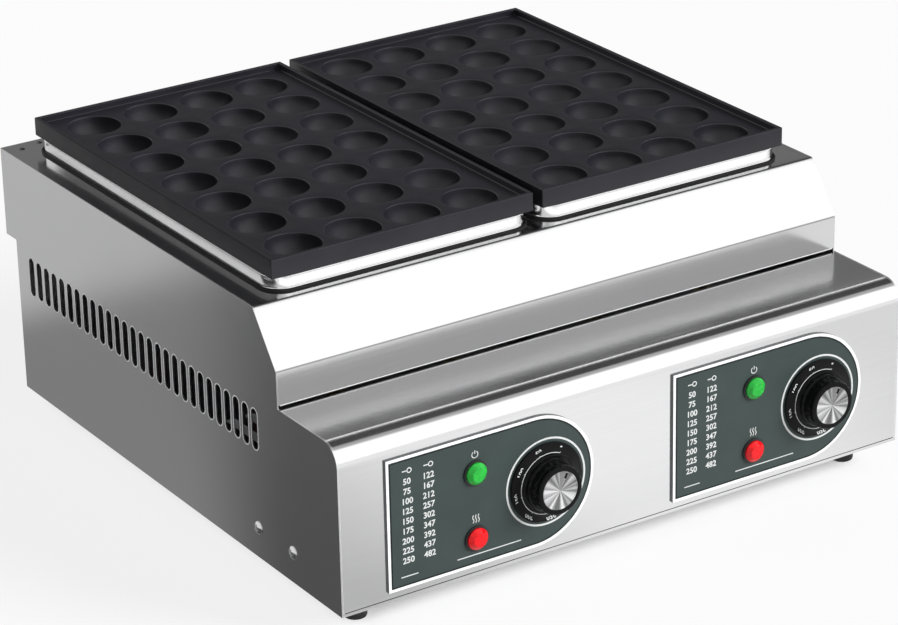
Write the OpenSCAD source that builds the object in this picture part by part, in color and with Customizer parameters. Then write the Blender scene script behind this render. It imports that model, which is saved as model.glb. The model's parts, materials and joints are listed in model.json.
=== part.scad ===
// Twin-plate countertop takoyaki maker: two cast plates of hemispherical cups on a stainless casing,
// with a thermostat, a dial and two pilot lamps for each plate.
// Millimetres. X runs to the right, Y to the back and Z up; the origin is at the centre of the overall
// length and width, on the surface that the feet stand on.

/* [Cups] */
// Diameter of one hemispherical cup
cup_d = 40; // [34:1:42]
// Distance between the centres of neighbouring cups
cup_pitch = 48; // [47:1:58]
// Rows of cups from front to back in each plate
cup_rows = 7; // [7:2:9]
// Thickness of the cast wall around a cup
cup_wall = 3; // [2.5:0.1:3.2]

/* [Baking plates] */
// Flat margin beside the outer cups, left and right
plate_side = 10.5; // [9:0.5:16]
// Flat margin beyond the first and last row of cups
plate_end = 5; // [5:0.5:12]
// Gap between the two plates
plate_gap = 8; // [8:0.5:30]
// Height of the skirt around a plate
plate_skirt = 14; // [13:0.5:20]
// Height of the rim above the floor between the cups
plate_rim = 5; // [3:0.5:8]
// Thickness of the skirt and rim
plate_wall = 3; // [2.5:0.1:4]
// Thickness of the floor between the cups
plate_floor = 4; // [3:0.1:5]

/* [Casing] */
// Height of the deck above the casing's bottom edge
casing_h = 190; // [180:1:240]
// Thickness of the stainless sheet
sheet = 1; // [0.8:0.1:1.5]
// Deck between a plate and the casing's side
deck_side = 21; // [16:1:50]
// Deck in front of the plates
deck_front = 9; // [8:1:30]
// Deck behind the plates
deck_back = 18; // [16:1:40]
// How far the fascia slopes back from its knee to the deck
fascia_run = 28; // [15:1:40]
// Height of the sloping part of the fascia
fascia_drop = 38; // [25:1:45]
// Outer radius of the folds in the fascia
fold_r = 2.5; // [2:0.1:4]
// How far the upper back stands out over the lower back
back_step = 16; // [8:1:24]
// Height of the step in the back
back_step_z = 121; // [100:1:140]
// Height of the raised collar under each plate
collar_h = 11; // [9:0.5:14]
// Radius of the collar's corners
collar_r = 16; // [12:1:20]

/* [Console] */
// Depth of the console in front of the fascia
console_d = 75; // [60:1:110]
// Height of the console
console_h = 125; // [118:1:135]
// Radius of the console's upper front edge
console_r = 16; // [8:1:20]
// Height of the base pan's lip below the console front
pan_lip = 2.6; // [2:0.1:5]
// Shadow gap between the console top and the fascia
shadow_gap = 2.4; // [1.5:0.1:4]

/* [Controls] */
// Distance between the centres of the two control labels
label_pitch = 236; // [200:1:260]
// Length of a label, up to the tip of its round end
label_w = 168; // [160:1:180]
// Height of a label
label_h = 98; // [96:1:104]
// Height of the label's lower edge
label_z = 8; // [6:1:12]
// Thickness of a label
label_t = 2; // [0.5:0.1:2.4]
// Distance of the dial's axis from the label's left edge
dial_x = 128; // [124:1:132]
// Height of the dial's axis
dial_z = 55.5; // [50:0.5:60]
// Distance of the lamps from the label's left edge
lamp_x = 70.5; // [60:0.5:80]
// Height of the power lamp
power_lamp_z = 78.5; // [74:0.5:84]
// Height of the heat lamp
heat_lamp_z = 29.5; // [24:0.5:34]
// Diameter of a lamp's lens
lens_d = 17; // [14:0.5:20]
// How far a knob stands out from the console
knob_reach = 20; // [18:0.5:26]
// Diameter of a knob's dial skirt
dial_d = 59; // [54:1:62]
// Diameter of a knob's grip
grip_d = 37; // [32:1:40]
// Diameter of the metal cap in a knob
cap_d = 28.6; // [24:0.2:31]
// Diameter of a thermostat's shaft
shaft_d = 6; // [6:0.5:8]

/* [Vents and feet] */
// Ventilation slots in each side
vent_count = 28; // [10:1:28]
// Distance between neighbouring slots
vent_pitch = 12.2; // [10:0.1:12.5]
// Width of a slot
vent_w = 8; // [4:0.5:9]
// Height of a slot
vent_h = 30.5; // [20:0.5:34]
// Height of the slots' lower ends
vent_z = 83; // [60:1:86]
// Height of a foot
foot_h = 18; // [8:1:30]
// Diameter of a foot at its top
foot_d = 18; // [16:1:24]

/* [Heating] */
// Diameter of the heating rod
rod_d = 6.6; // [6:0.1:8]
// Depth of the heat tray under the deck
tray_depth = 30; // [26:1:36]
// Diameter of the thermostat's feeler
feeler_d = 6; // [5:0.5:6.5]
// Length of the feeler
feeler_l = 68; // [50:1:70]

/* [Hidden] */
$fn = 64;
eps = 0.01;
// Clearance of a screw, rod or barrel in its hole
hole_gap = 0.2;
// Running clearance of the shaft in the thermostat
run_gap = 0.05;
// Gap between round faces that lie against each other
round_gap = 0.3;
cup_cols = 4;
cup_r = cup_d / 2;
shell_r = cup_r + cup_wall;

plate_w = cup_cols * cup_pitch + 2 * plate_side;
plate_l = cup_rows * cup_pitch + 2 * plate_end;
casing_w = 2 * (plate_w + deck_side) + plate_gap;
deck_y = console_d + fascia_run;
plate_y = deck_y + deck_front + plate_l / 2;
plate_x = (plate_w + plate_gap) / 2;
casing_d = deck_y + deck_front + plate_l + deck_back;
lower_back = casing_d - back_step;
knee_z = casing_h - fascia_drop;
inner_x = casing_w / 2 - sheet;
origin_y = (casing_d - knob_reach) / 2;

// Heights in the plate stack
skirt_z = casing_h + collar_h;
plate_top = skirt_z + plate_skirt;
floor_z = plate_top - plate_rim;
floor_under = floor_z - plate_floor;
tray_z = casing_h - sheet - tray_depth;

// The collar stands just inside the plate's outline
collar_inset = 0.5;
collar_edge_r = 1.5;
collar_foot_r = 3;
ledge_side = 10;
ledge_end = 6.5;
opening_r = 8;
opening_w = plate_w - 2 * ledge_side;
opening_l = plate_l - 2 * ledge_end;
flange = 12;

// Heat tray
tray_gap = 2;
tray_w = opening_w + 2 * tray_gap;
tray_l = opening_l + 2 * tray_gap;
tray_flange = 7;
strap_w = 18;
strap_t = 3;

// The rod lies in the valleys between the cups, or under the floor where the cups stand far apart
rod_r = rod_d / 2;
function valley_z(r) = min(
    floor_under - r - round_gap,
    floor_z - sqrt(max(0, pow(shell_r + r + round_gap, 2) - pow(cup_pitch / 2, 2)))
);
rod_z = valley_z(rod_r);
rod_x = cup_pitch;
rod_turn_y = (cup_rows / 2 - 1) * cup_pitch;
rod_front_y = -(cup_rows - 1) / 2 * cup_pitch;
rod_turn_r = cup_pitch / 2;
leg_bend_r = 12;
leg_y = rod_front_y - leg_bend_r;
leg_end_z = tray_z - 10;
bush_d = 13;
bush_t = 4;
bush_neck_d = rod_d + 3;
pin_d = 4;
pin_l = 8;

// Studs and clamps stand between four cups
stud_y = 1.5 * cup_pitch;
stud_d = 6;
stud_boss_d = 13;
stud_boss_h = 9;
nut_t = 5;
nut_flats = 10;
clamp_y = 0.5 * cup_pitch;
clamp_w = 12;
clamp_t = 2;
clamp_z = rod_z - rod_r - round_gap;
clamp_screw_d = 4;
clamp_screw_in = 8;
clamp_boss_d = 10;
clamp_end = 8;

// Feeler of the thermostat, in the valley behind the front row
feeler_y = -(cup_rows / 2 - 1) * cup_pitch;
feeler_z = valley_z(feeler_d / 2);
clip_w = 8;
clip_reach = 9;
clip_t = 1;
clip_end = 4;
clip_boss_d = 6;
clip_screw_d = 3;
clip_screw_in = 5;
clip_z = feeler_z - feeler_d / 2 - round_gap;
capillary_r = 0.9;
capillary_bend = 6;
// The capillary's handle stands this far under the console's top, so that it dips below it
capillary_dip = 34;

// Controls
label_left = -label_pitch / 2 - label_w / 2;
label_end_r = label_h / 2;
skirt_gap = 0.3;
lens_proud = 4;
bezel_t = 1.4;
barrel_d = 12;
barrel_l = 26;
lamp_nut_t = 4;
lamp_tab_x = 2.5;
lamp_tab_w = 2.8;
lamp_tab_l = 6;
stat_w = 36;
stat_h = 46;
stat_t = 26;
stat_plate_t = 2;
stat_ear = 3;
stat_plate_h = 24;
stat_screw_x = 14;
stat_screw_d = 4;
shaft_in = 15.5;
shaft_flat = 0.6;
tab_l = 8;
tab_w = 6.3;
tab_t = 0.8;
tab_x = 9;
block_w = 62;
block_y = lower_back - 60;
block_d = 22;
block_h = 16;
block_x = -60;
block_poles = 4;
well_d = 6;
well_deep = 8;
well_y = block_d / 2 - 5;

// The row of slots is centred this far behind the middle of the lower casing
vent_back = 42;
// How far the console's top runs on under the fascia
console_tuck = 15;

// Panel screws
screw_d = 4;
// Diameter and height of each kind of head
m3_head = [5.2, 1.7];
m4_head = [7, 2.2];
low_head = [7, 1.8];
side_head = [9.6, 2.4];
pan_flange = 40;
pan_back_flange = 12;
side_screw_z = 23;
side_screws_y = [62, 108];
back_screw_z = 6.5;
back_screws_x = [-190, 0, 190];
rivet_d = 5;
rivet_shank_d = 3;
rivet_bore_d = 1.6;
foot_x = casing_w / 2 - 27;
foot_front_y = 28;
foot_back_y = lower_back - 40;
foot_taper = 1;
foot_well_d = 9;
foot_web = 4;
gland_x = inner_x - 57;
gland_z = 34;
gland_bore_d = 8;
gland_thread_d = 15;
gland_hex = 20;
gland_out = 13;
gland_in = 12;
gland_hex_t = 5;

// ---- Shared forms ----

function unit(v) = v / norm(v);
function across(v) = [-v[1], v[0]];
function reversed(list) = [for (i = [len(list) - 1 : -1 : 0]) list[i]];
// The point of a path at place i, moved sideways by s with the corner mitred
function mitred(path, i, s) =
    let (
        last = len(path) - 1,
        here = across(unit(i < last ? path[i + 1] - path[i] : path[i] - path[i - 1])),
        before = i > 0 ? across(unit(path[i] - path[i - 1])) : here
    ) path[i] + s * (here + before) / (1 + here * before);
// The arc of radius r that rounds the corner p between a and b
function rounded(a, p, b, r, steps) =
    let (
        u = unit(a - p),
        v = unit(b - p),
        half = acos(u * v) / 2,
        c = p + unit(u + v) * r / sin(half),
        start = p + u * r / tan(half) - c,
        finish = p + v * r / tan(half) - c,
        from = atan2(start[1], start[0]),
        full = atan2(finish[1], finish[0]) - from,
        turn = full > 180 ? full - 360 : full < -180 ? full + 360 : full
    ) [for (k = [0 : steps]) c + r * [cos(from + turn * k / steps), sin(from + turn * k / steps)]];

// Everything is drawn with Y = 0 at the console's front and Z = 0 at the casing's bottom edge
module placed() {
    translate([0, -origin_y, foot_h]) children();
}

// A side profile in Y and Z, drawn out along X between x0 and x1
module across_casing(x0, x1) {
    translate([x0, 0, 0]) rotate([90, 0, 90]) linear_extrude(x1 - x0) children();
}

// A folded sheet whose outer face follows path, with its thickness on the path's right
module folded_sheet(path) {
    inner = [for (i = [0 : len(path) - 1]) mitred(path, i, -sheet)];
    polygon(concat(path, reversed(inner)));
}

module rounded_rectangle(w, l, r) {
    square([w - 2 * r, l], center = true);
    square([w, l - 2 * r], center = true);
    for (x = [-1, 1], y = [-1, 1]) translate([x * (w / 2 - r), y * (l / 2 - r)]) circle(r);
}

// The children's 2D section carried once around a rounded rectangle; X = 0 is the outline
module around_rectangle(w, l, r) {
    for (side = [[w, l, 0], [l, w, 90], [w, l, 180], [l, w, 270]])
        rotate(side[2]) {
            translate([side[0] / 2, side[1] / 2 - r, 0])
                rotate([90, 0, 0]) linear_extrude(side[1] - 2 * r) children();
            translate([side[0] / 2 - r, side[1] / 2 - r, 0])
                rotate_extrude(angle = 90) translate([r, 0]) children();
        }
}

module slot(w, h) {
    translate([-w / 2, w / 2]) square([w, h - w]);
    translate([0, w / 2]) circle(d = w);
    translate([0, h - w / 2]) circle(d = w);
}

// Local Z points out of the console's front at this place
module on_console(x, z) {
    translate([x, 0, z]) rotate([90, 0, 0]) children();
}

// A round cutter that reaches past both sides of Z = 0
module drill(d, reach = 3) {
    cylinder(d = d, h = 2 * reach + 2, center = true);
}

// A domed screw with a cross recess; head holds the head's diameter and height.
// Local Z points out of the head and Z = 0 is the seat
module pan_screw(d, length, head) {
    head_d = head[0];
    head_h = head[1];
    difference() {
        union() {
            intersection() {
                cylinder(d = head_d, h = head_h);
                dome_r = (pow(head_d / 2, 2) + pow(head_h * 0.8, 2)) / (2 * head_h * 0.8);
                translate([0, 0, head_h - dome_r]) sphere(dome_r);
            }
            translate([0, 0, -length]) cylinder(d = d, h = length + eps);
        }
        for (turn = [0, 90]) rotate(turn)
            translate([-head_d / 4, -head_d / 16, head_h * 0.45]) cube([head_d / 2, head_d / 8, head_h]);
    }
}

module hex_nut(flats, hole_d, t) {
    difference() {
        cylinder(d = flats / cos(30), h = t, $fn = 6);
        drill(hole_d, t);
    }
}

// A lead on a cubic curve from a to d, with b and c as its handles and side square to its run;
// its rings stand closer together towards its ends, where it enters a well or meets a tab
module lead(a, b, c, d, r, side) {
    rings = 18;
    sides = 8;
    function place(t) =
        let (s = 1 - t)
        s * s * s * a + 3 * s * s * t * b + 3 * s * t * t * c + t * t * t * d;
    function way(t) = unit(pow(1 - t, 2) * (b - a) + 2 * (1 - t) * t * (c - b) + t * t * (d - c));
    function ring(t) =
        let (w = way(t), u = unit(cross(w, side)), v = cross(w, u))
        [for (k = [0 : sides - 1]) place(t) + r * (cos(360 * k / sides) * u + sin(360 * k / sides) * v)];
    points = [for (i = [0 : rings]) each ring((1 - cos(180 * i / rings)) / 2)];
    walls = [for (i = [0 : rings - 1], k = [0 : sides - 1])
        let (m = (k + 1) % sides, p = i * sides, q = p + sides)
        each [[p + k, q + k, q + m], [p + k, q + m, p + m]]];
    start = [for (k = [1 : sides - 2]) [0, k, k + 1]];
    top = rings * sides;
    finish = [for (k = [1 : sides - 2]) [top, top + k + 1, top + k]];
    polyhedron(points, concat(walls, start, finish));
}

// ---- Casing ----

fascia_path = concat(
    [[console_d, console_h + shadow_gap]],
    rounded([console_d, console_h], [console_d, knee_z], [deck_y, casing_h], fold_r, 4),
    rounded([console_d, knee_z], [deck_y, casing_h], [casing_d, casing_h], fold_r, 4),
    [[casing_d - sheet, casing_h]]
);
back_path = [
    [casing_d, casing_h], [casing_d, back_step_z], [lower_back, back_step_z], [lower_back, 0]
];

module console_corner(r) {
    translate([console_r, console_h - console_r]) circle(r);
}

module side_profile() {
    difference() {
        polygon(concat(
            [[lower_back, 0], [0, 0], [0, console_h], [console_d, console_h]],
            [for (i = [1 : len(fascia_path) - 2]) fascia_path[i]],
            [for (i = [0 : 2]) back_path[i]]
        ));
        difference() {
            translate([-1, console_h - console_r]) square([console_r + 1, console_r + 1]);
            console_corner(console_r);
        }
    }
}

module side_panel(x0) {
    color([0.62, 0.62, 0.64]) placed() across_casing(x0, x0 + sheet) difference() {
        side_profile();
        for (i = [0 : vent_count - 1])
            translate([lower_back / 2 + vent_back + (i - (vent_count - 1) / 2) * vent_pitch, vent_z])
                slot(vent_w, vent_h);
        for (y = side_screws_y) translate([y, side_screw_z]) circle(d = screw_d + 2 * hole_gap);
    }
}

module collar() {
    wall_h = collar_h - collar_edge_r;
    around_rectangle(plate_w - 2 * collar_inset, plate_l - 2 * collar_inset, collar_r) {
        translate([-sheet, 0]) square([sheet, wall_h]);
        translate([-collar_edge_r, wall_h]) intersection() {
            difference() {
                circle(collar_edge_r);
                circle(collar_edge_r - sheet);
            }
            square(collar_edge_r + 1);
        }
        difference() {
            translate([-eps, 0]) square(collar_foot_r);
            translate([collar_foot_r, collar_foot_r]) circle(collar_foot_r);
        }
    }
    top_inset = 2 * (collar_inset + collar_edge_r);
    translate([0, 0, collar_h - sheet]) linear_extrude(sheet) difference() {
        rounded_rectangle(plate_w - top_inset, plate_l - top_inset, collar_r - collar_edge_r);
        rounded_rectangle(opening_w, opening_l, opening_r);
    }
}

module top_deck() {
    hole_inset = 2 * (collar_inset + sheet);
    color([0.55, 0.55, 0.57]) placed() {
        difference() {
            across_casing(-inner_x, inner_x) folded_sheet(fascia_path);
            for (side = [-1, 1]) {
                translate([side * plate_x, plate_y, casing_h - 2 * sheet]) linear_extrude(3 * sheet)
                    rounded_rectangle(plate_w - hole_inset, plate_l - hole_inset, collar_r - sheet);
                rivet_places(side) drill(rivet_shank_d + 2 * hole_gap);
            }
        }
        for (side = [-1, 1]) {
            translate([side * plate_x, plate_y, casing_h]) collar();
            translate([side > 0 ? inner_x - sheet : -inner_x, deck_y + flange, casing_h - flange])
                cube([sheet, casing_d - sheet - deck_y - 2 * flange, flange - sheet + eps]);
        }
    }
}

module console_cover() {
    color([0.86, 0.86, 0.87]) placed() difference() {
        across_casing(-inner_x, inner_x) {
            translate([console_r, console_h - sheet]) square([console_d + console_tuck - console_r, sheet]);
            translate([0, pan_lip]) square([sheet, console_h - console_r - pan_lip]);
            translate([0, pan_lip]) square([flange, sheet]);
            intersection() {
                difference() {
                    console_corner(console_r);
                    console_corner(console_r - sheet);
                }
                translate([0, console_h - console_r]) square(console_r);
            }
        }
        for (i = [0, 1]) {
            on_console(dial_at(i), dial_z) control_holes();
            for (z = [power_lamp_z, heat_lamp_z])
                on_console(lamp_at(i), z) drill(barrel_d + 2 * hole_gap);
        }
    }
}

module rear_panel() {
    color([0.6, 0.6, 0.62]) placed() difference() {
        across_casing(-inner_x, inner_x) folded_sheet(back_path);
        translate([gland_x, lower_back, gland_z]) rotate([90, 0, 0])
            drill(gland_thread_d + 2 * hole_gap);
        for (x = back_screws_x) translate([x, lower_back, back_screw_z]) rotate([90, 0, 0])
            drill(screw_d + 2 * hole_gap);
    }
}

module base_pan() {
    pan_back = lower_back - sheet;
    color([0.66, 0.67, 0.68]) placed() difference() {
        union() {
            translate([-inner_x, 0, 0]) cube([2 * inner_x, pan_back, sheet]);
            translate([-inner_x, 0, 0]) cube([2 * inner_x, sheet, pan_lip]);
            for (x = [-inner_x, inner_x - sheet])
                translate([x, flange + hole_gap, 0]) cube([sheet, pan_back - flange - hole_gap, pan_flange]);
            translate([-inner_x, pan_back - sheet, 0]) cube([2 * inner_x, sheet, pan_back_flange]);
        }
        for (side = [-1, 1], y = side_screws_y)
            translate([side * inner_x, y, side_screw_z]) rotate([0, 90, 0]) drill(screw_d + 2 * hole_gap);
        for (x = back_screws_x)
            translate([x, pan_back, back_screw_z]) rotate([90, 0, 0]) drill(screw_d + 2 * hole_gap);
        for (x = [-foot_x, foot_x], y = [foot_front_y, foot_back_y])
            translate([x, y, 0]) drill(screw_d + 2 * hole_gap);
        for (side = [-1, 1], i = [-4 : 4])
            translate([side * plate_x + i * 2 * vent_w, plate_y - vent_h, -1])
                linear_extrude(sheet + 2) slot(vent_w, 2 * vent_h);
    }
}

// ---- Baking plates ----

module cup_places() {
    for (i = [0 : cup_cols - 1], j = [0 : cup_rows - 1])
        translate([(i - (cup_cols - 1) / 2) * cup_pitch, (j - (cup_rows - 1) / 2) * cup_pitch, floor_z])
            children();
}

module baking_plate(side) {
    color([0.13, 0.13, 0.15]) placed() translate([side * plate_x, plate_y, 0]) difference() {
        union() {
            difference() {
                translate([-plate_w / 2, -plate_l / 2, skirt_z]) cube([plate_w, plate_l, plate_skirt]);
                translate([plate_wall - plate_w / 2, plate_wall - plate_l / 2, floor_z])
                    cube([plate_w - 2 * plate_wall, plate_l - 2 * plate_wall, plate_rim + 1]);
                translate([plate_wall - plate_w / 2, plate_wall - plate_l / 2, skirt_z - 1])
                    cube([plate_w - 2 * plate_wall, plate_l - 2 * plate_wall, floor_under - skirt_z + 1]);
            }
            cup_places() difference() {
                sphere(shell_r);
                translate([-shell_r - 1, -shell_r - 1, -plate_floor / 2])
                    cube([2 * shell_r + 2, 2 * shell_r + 2, 2 * shell_r]);
            }
            for (y = [-stud_y, stud_y])
                translate([0, y, floor_under - stud_boss_h]) cylinder(d = stud_boss_d, h = stud_boss_h + 1);
            for (y = [-clamp_y, clamp_y])
                translate([0, y, clamp_z]) cylinder(d = clamp_boss_d, h = floor_under - clamp_z + 1);
            for (y = [-clip_reach, clip_reach])
                translate([0, feeler_y + y, clip_z]) cylinder(d = clip_boss_d, h = floor_under - clip_z + 1);
        }
        cup_places() sphere(cup_r);
        for (y = [-stud_y, stud_y])
            translate([0, y, floor_under - stud_boss_h - 1])
                cylinder(d = stud_d + 2 * run_gap, h = stud_boss_h);
        for (y = [-clamp_y, clamp_y])
            translate([0, y, clamp_z - 1])
                cylinder(d = clamp_screw_d + 2 * run_gap, h = clamp_screw_in + 1);
        for (y = [-clip_reach, clip_reach])
            translate([0, feeler_y + y, clip_z - 1])
                cylinder(d = clip_screw_d + 2 * run_gap, h = clip_screw_in + 1);
    }
}

module heat_tray(side) {
    outer_w = tray_w + 2 * sheet;
    outer_l = tray_l + 2 * sheet;
    color([0.7, 0.71, 0.73]) placed() translate([side * plate_x, plate_y, 0]) difference() {
        union() {
            translate([-outer_w / 2, -outer_l / 2, tray_z]) cube([outer_w, outer_l, tray_depth]);
            translate([-outer_w / 2 - tray_flange, -outer_l / 2 - tray_flange, tray_z + tray_depth - sheet])
                cube([outer_w + 2 * tray_flange, outer_l + 2 * tray_flange, sheet]);
        }
        translate([-tray_w / 2, -tray_l / 2, tray_z + sheet]) cube([tray_w, tray_l, tray_depth]);
        for (y = [-stud_y, stud_y])
            translate([0, y, tray_z]) drill(stud_d + 2 * hole_gap);
        for (x = [-rod_x, rod_x])
            translate([x, leg_y, tray_z]) drill(bush_neck_d + 2 * hole_gap);
        translate([feeler_l / 2 + capillary_bend, feeler_y, tray_z]) drill(2 * (capillary_r + hole_gap));
    }
}

module tray_straps(side) {
    color([0.6, 0.61, 0.63]) placed() translate([side * plate_x, plate_y, 0])
        for (y = [-stud_y, stud_y]) difference() {
            translate([-tray_w / 2, y - strap_w / 2, tray_z - strap_t]) cube([tray_w, strap_w, strap_t]);
            translate([0, y, tray_z]) drill(stud_d + 2 * hole_gap, strap_t);
        }
}

module plate_studs(side) {
    stud_low = tray_z - strap_t - nut_t - 3;
    color([0.75, 0.75, 0.76]) placed() translate([side * plate_x, plate_y, stud_low])
        for (y = [-stud_y, stud_y])
            translate([0, y, 0]) cylinder(d = stud_d, h = floor_under - 1.3 - stud_low);
}

module stud_nuts(side) {
    color([0.75, 0.75, 0.76]) placed() translate([side * plate_x, plate_y, tray_z - strap_t - nut_t])
        for (y = [-stud_y, stud_y]) translate([0, y, 0]) hex_nut(nut_flats, stud_d + 2 * run_gap, nut_t);
}

// ---- Heating ----

module heating_element(side) {
    color([0.42, 0.4, 0.38]) placed() translate([side * plate_x, plate_y, 0]) {
        for (s = [-1, 1]) {
            translate([s * rod_x, rod_front_y, rod_z]) rotate([-90, 0, 0])
                cylinder(r = rod_r, h = rod_turn_y - rod_turn_r - rod_front_y);
            translate([s * (rod_x - rod_turn_r), rod_turn_y - rod_turn_r, rod_z])
                rotate(s > 0 ? 0 : 90) rotate_extrude(angle = 90) translate([rod_turn_r, 0]) circle(rod_r);
            translate([s * rod_x, rod_front_y, rod_z - leg_bend_r]) rotate([0, -90, 0])
                rotate([0, 0, -90]) rotate_extrude(angle = 90) translate([leg_bend_r, 0]) circle(rod_r);
            translate([s * rod_x, leg_y, leg_end_z]) cylinder(r = rod_r, h = rod_z - leg_bend_r - leg_end_z);
            translate([s * rod_x, leg_y, leg_end_z - pin_l]) cylinder(d = pin_d, h = pin_l + eps);
        }
        translate([rod_turn_r - rod_x, rod_turn_y, rod_z]) rotate([0, 90, 0])
            cylinder(r = rod_r, h = 2 * (rod_x - rod_turn_r));
    }
}

module element_bushes(side) {
    color([0.72, 0.6, 0.3]) placed() translate([side * plate_x, plate_y, 0])
        for (s = [-1, 1]) translate([s * rod_x, leg_y, 0]) difference() {
            union() {
                translate([0, 0, tray_z + sheet]) cylinder(d = bush_d, h = bush_t);
                translate([0, 0, tray_z - eps]) cylinder(d = bush_neck_d, h = sheet + 2 * eps);
                translate([0, 0, tray_z - bush_t]) cylinder(d = bush_d, h = bush_t);
            }
            translate([0, 0, tray_z]) drill(rod_d + 2 * run_gap, bush_t + sheet);
        }
}

module element_clamps(side) {
    reach = rod_x + clamp_end;
    color([0.6, 0.61, 0.63]) placed() translate([side * plate_x, plate_y, clamp_z - clamp_t])
        for (y = [-clamp_y, clamp_y]) difference() {
            translate([-reach, y - clamp_w / 2, 0]) cube([2 * reach, clamp_w, clamp_t]);
            translate([0, y, 0]) drill(clamp_screw_d + 2 * hole_gap);
        }
}

module clamp_screws(side) {
    color([0.75, 0.75, 0.76]) placed() translate([side * plate_x, plate_y, clamp_z - clamp_t])
        for (y = [-clamp_y, clamp_y]) translate([0, y, 0]) rotate([180, 0, 0])
            pan_screw(clamp_screw_d, clamp_t + clamp_screw_in - 1, m4_head);
}

module feeler(side) {
    tail_x = feeler_l / 2 + capillary_bend;
    tail_low = tray_z - 8;
    // The sleeve below the tray is wide enough to hold the bare tube
    coil_r = capillary_r * 1.15;
    start = [side * plate_x + tail_x, plate_y + feeler_y, tail_low];
    dip = [start[0], start[1], console_h - capillary_dip];
    // The capillary ends on top of its thermostat
    finish = [dial_at(side > 0 ? 1 : 0), sheet + stat_plate_t + stat_t / 2, dial_z + stat_h / 2 + 0.1];
    color([0.72, 0.45, 0.3]) placed() {
        translate([side * plate_x, plate_y + feeler_y, 0]) {
            translate([-feeler_l / 2, 0, feeler_z]) rotate([0, 90, 0]) cylinder(d = feeler_d, h = feeler_l);
            translate([feeler_l / 2, 0, feeler_z - capillary_bend]) rotate([90, 0, 0])
                rotate_extrude(angle = 90) translate([capillary_bend, 0]) circle(capillary_r, $fn = 24);
            translate([tail_x, 0, tail_low])
                cylinder(r = capillary_r, h = feeler_z - capillary_bend - tail_low, $fn = 24);
        }
        lead(start + [0, 0, 3], dip, finish + [0, 0, 45], finish, coil_r, [1, 0, 0]);
    }
}

module feeler_clip(side) {
    color([0.6, 0.61, 0.63]) placed()
        translate([side * plate_x, plate_y + feeler_y, clip_z - clip_t]) difference() {
            translate([-clip_w / 2, -clip_reach - clip_end, 0])
                cube([clip_w, 2 * (clip_reach + clip_end), clip_t]);
            for (y = [-clip_reach, clip_reach])
                translate([0, y, 0]) drill(clip_screw_d + 2 * hole_gap);
        }
}

module feeler_clip_screws() {
    color([0.75, 0.75, 0.76]) placed()
        for (side = [-1, 1], y = [-clip_reach, clip_reach])
            translate([side * plate_x, plate_y + feeler_y + y, clip_z - clip_t]) rotate([180, 0, 0])
                pan_screw(clip_screw_d, clip_t + clip_screw_in - 0.5, m3_head);
}

// ---- Controls ----

function label_at(i) = label_left + i * label_pitch;
function dial_at(i) = label_at(i) + dial_x;
function lamp_at(i) = label_at(i) + lamp_x;

module control_holes() {
    drill(shaft_d + 2);
    for (x = [-stat_screw_x, stat_screw_x]) translate([x, 0, 0]) drill(stat_screw_d + 2 * hole_gap);
}

module control_label(i) {
    color([0.26, 0.31, 0.3]) placed() difference() {
        on_console(label_at(i), label_z) linear_extrude(label_t) {
            square([label_w - label_end_r, label_h]);
            translate([label_w - label_end_r, label_end_r]) circle(label_end_r);
        }
        on_console(dial_at(i), dial_z) control_holes();
        for (z = [power_lamp_z, heat_lamp_z])
            on_console(lamp_at(i), z) drill(barrel_d + 2 * hole_gap);
    }
}

module thermostat(i) {
    color([0.8, 0.78, 0.72]) placed() on_console(dial_at(i), dial_z) difference() {
        union() {
            translate([-stat_w / 2 - stat_ear, -stat_plate_h / 2, -sheet - stat_plate_t])
                cube([stat_w + 2 * stat_ear, stat_plate_h, stat_plate_t]);
            translate([-stat_w / 2, -stat_h / 2, -sheet - stat_plate_t - stat_t])
                cube([stat_w, stat_h, stat_t + eps]);
            for (x = [-tab_x, tab_x])
                translate([x - tab_w / 2, -tab_t / 2, -sheet - stat_plate_t - stat_t - tab_l])
                    cube([tab_w, tab_t, tab_l + 1]);
        }
        translate([0, 0, -sheet - shaft_in - 0.5]) cylinder(d = shaft_d + 2 * run_gap, h = shaft_in + 1);
        for (x = [-stat_screw_x, stat_screw_x])
            translate([x, 0, -sheet - 9]) cylinder(d = stat_screw_d + 2 * run_gap, h = 10);
    }
}

module thermostat_screws() {
    color([0.75, 0.75, 0.76]) placed() for (i = [0, 1], x = [-stat_screw_x, stat_screw_x])
        on_console(dial_at(i) + x, dial_z) translate([0, 0, label_t]) pan_screw(stat_screw_d, 8.5, low_head);
}

module thermostat_shaft(i) {
    color([0.78, 0.72, 0.5]) placed() on_console(dial_at(i), dial_z) difference() {
        translate([0, 0, -sheet - shaft_in]) cylinder(d = shaft_d, h = sheet + shaft_in + knob_reach - 7);
        translate([-shaft_d, shaft_d / 2 - shaft_flat, 4]) cube([2 * shaft_d, shaft_flat + 1, knob_reach]);
    }
}

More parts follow.
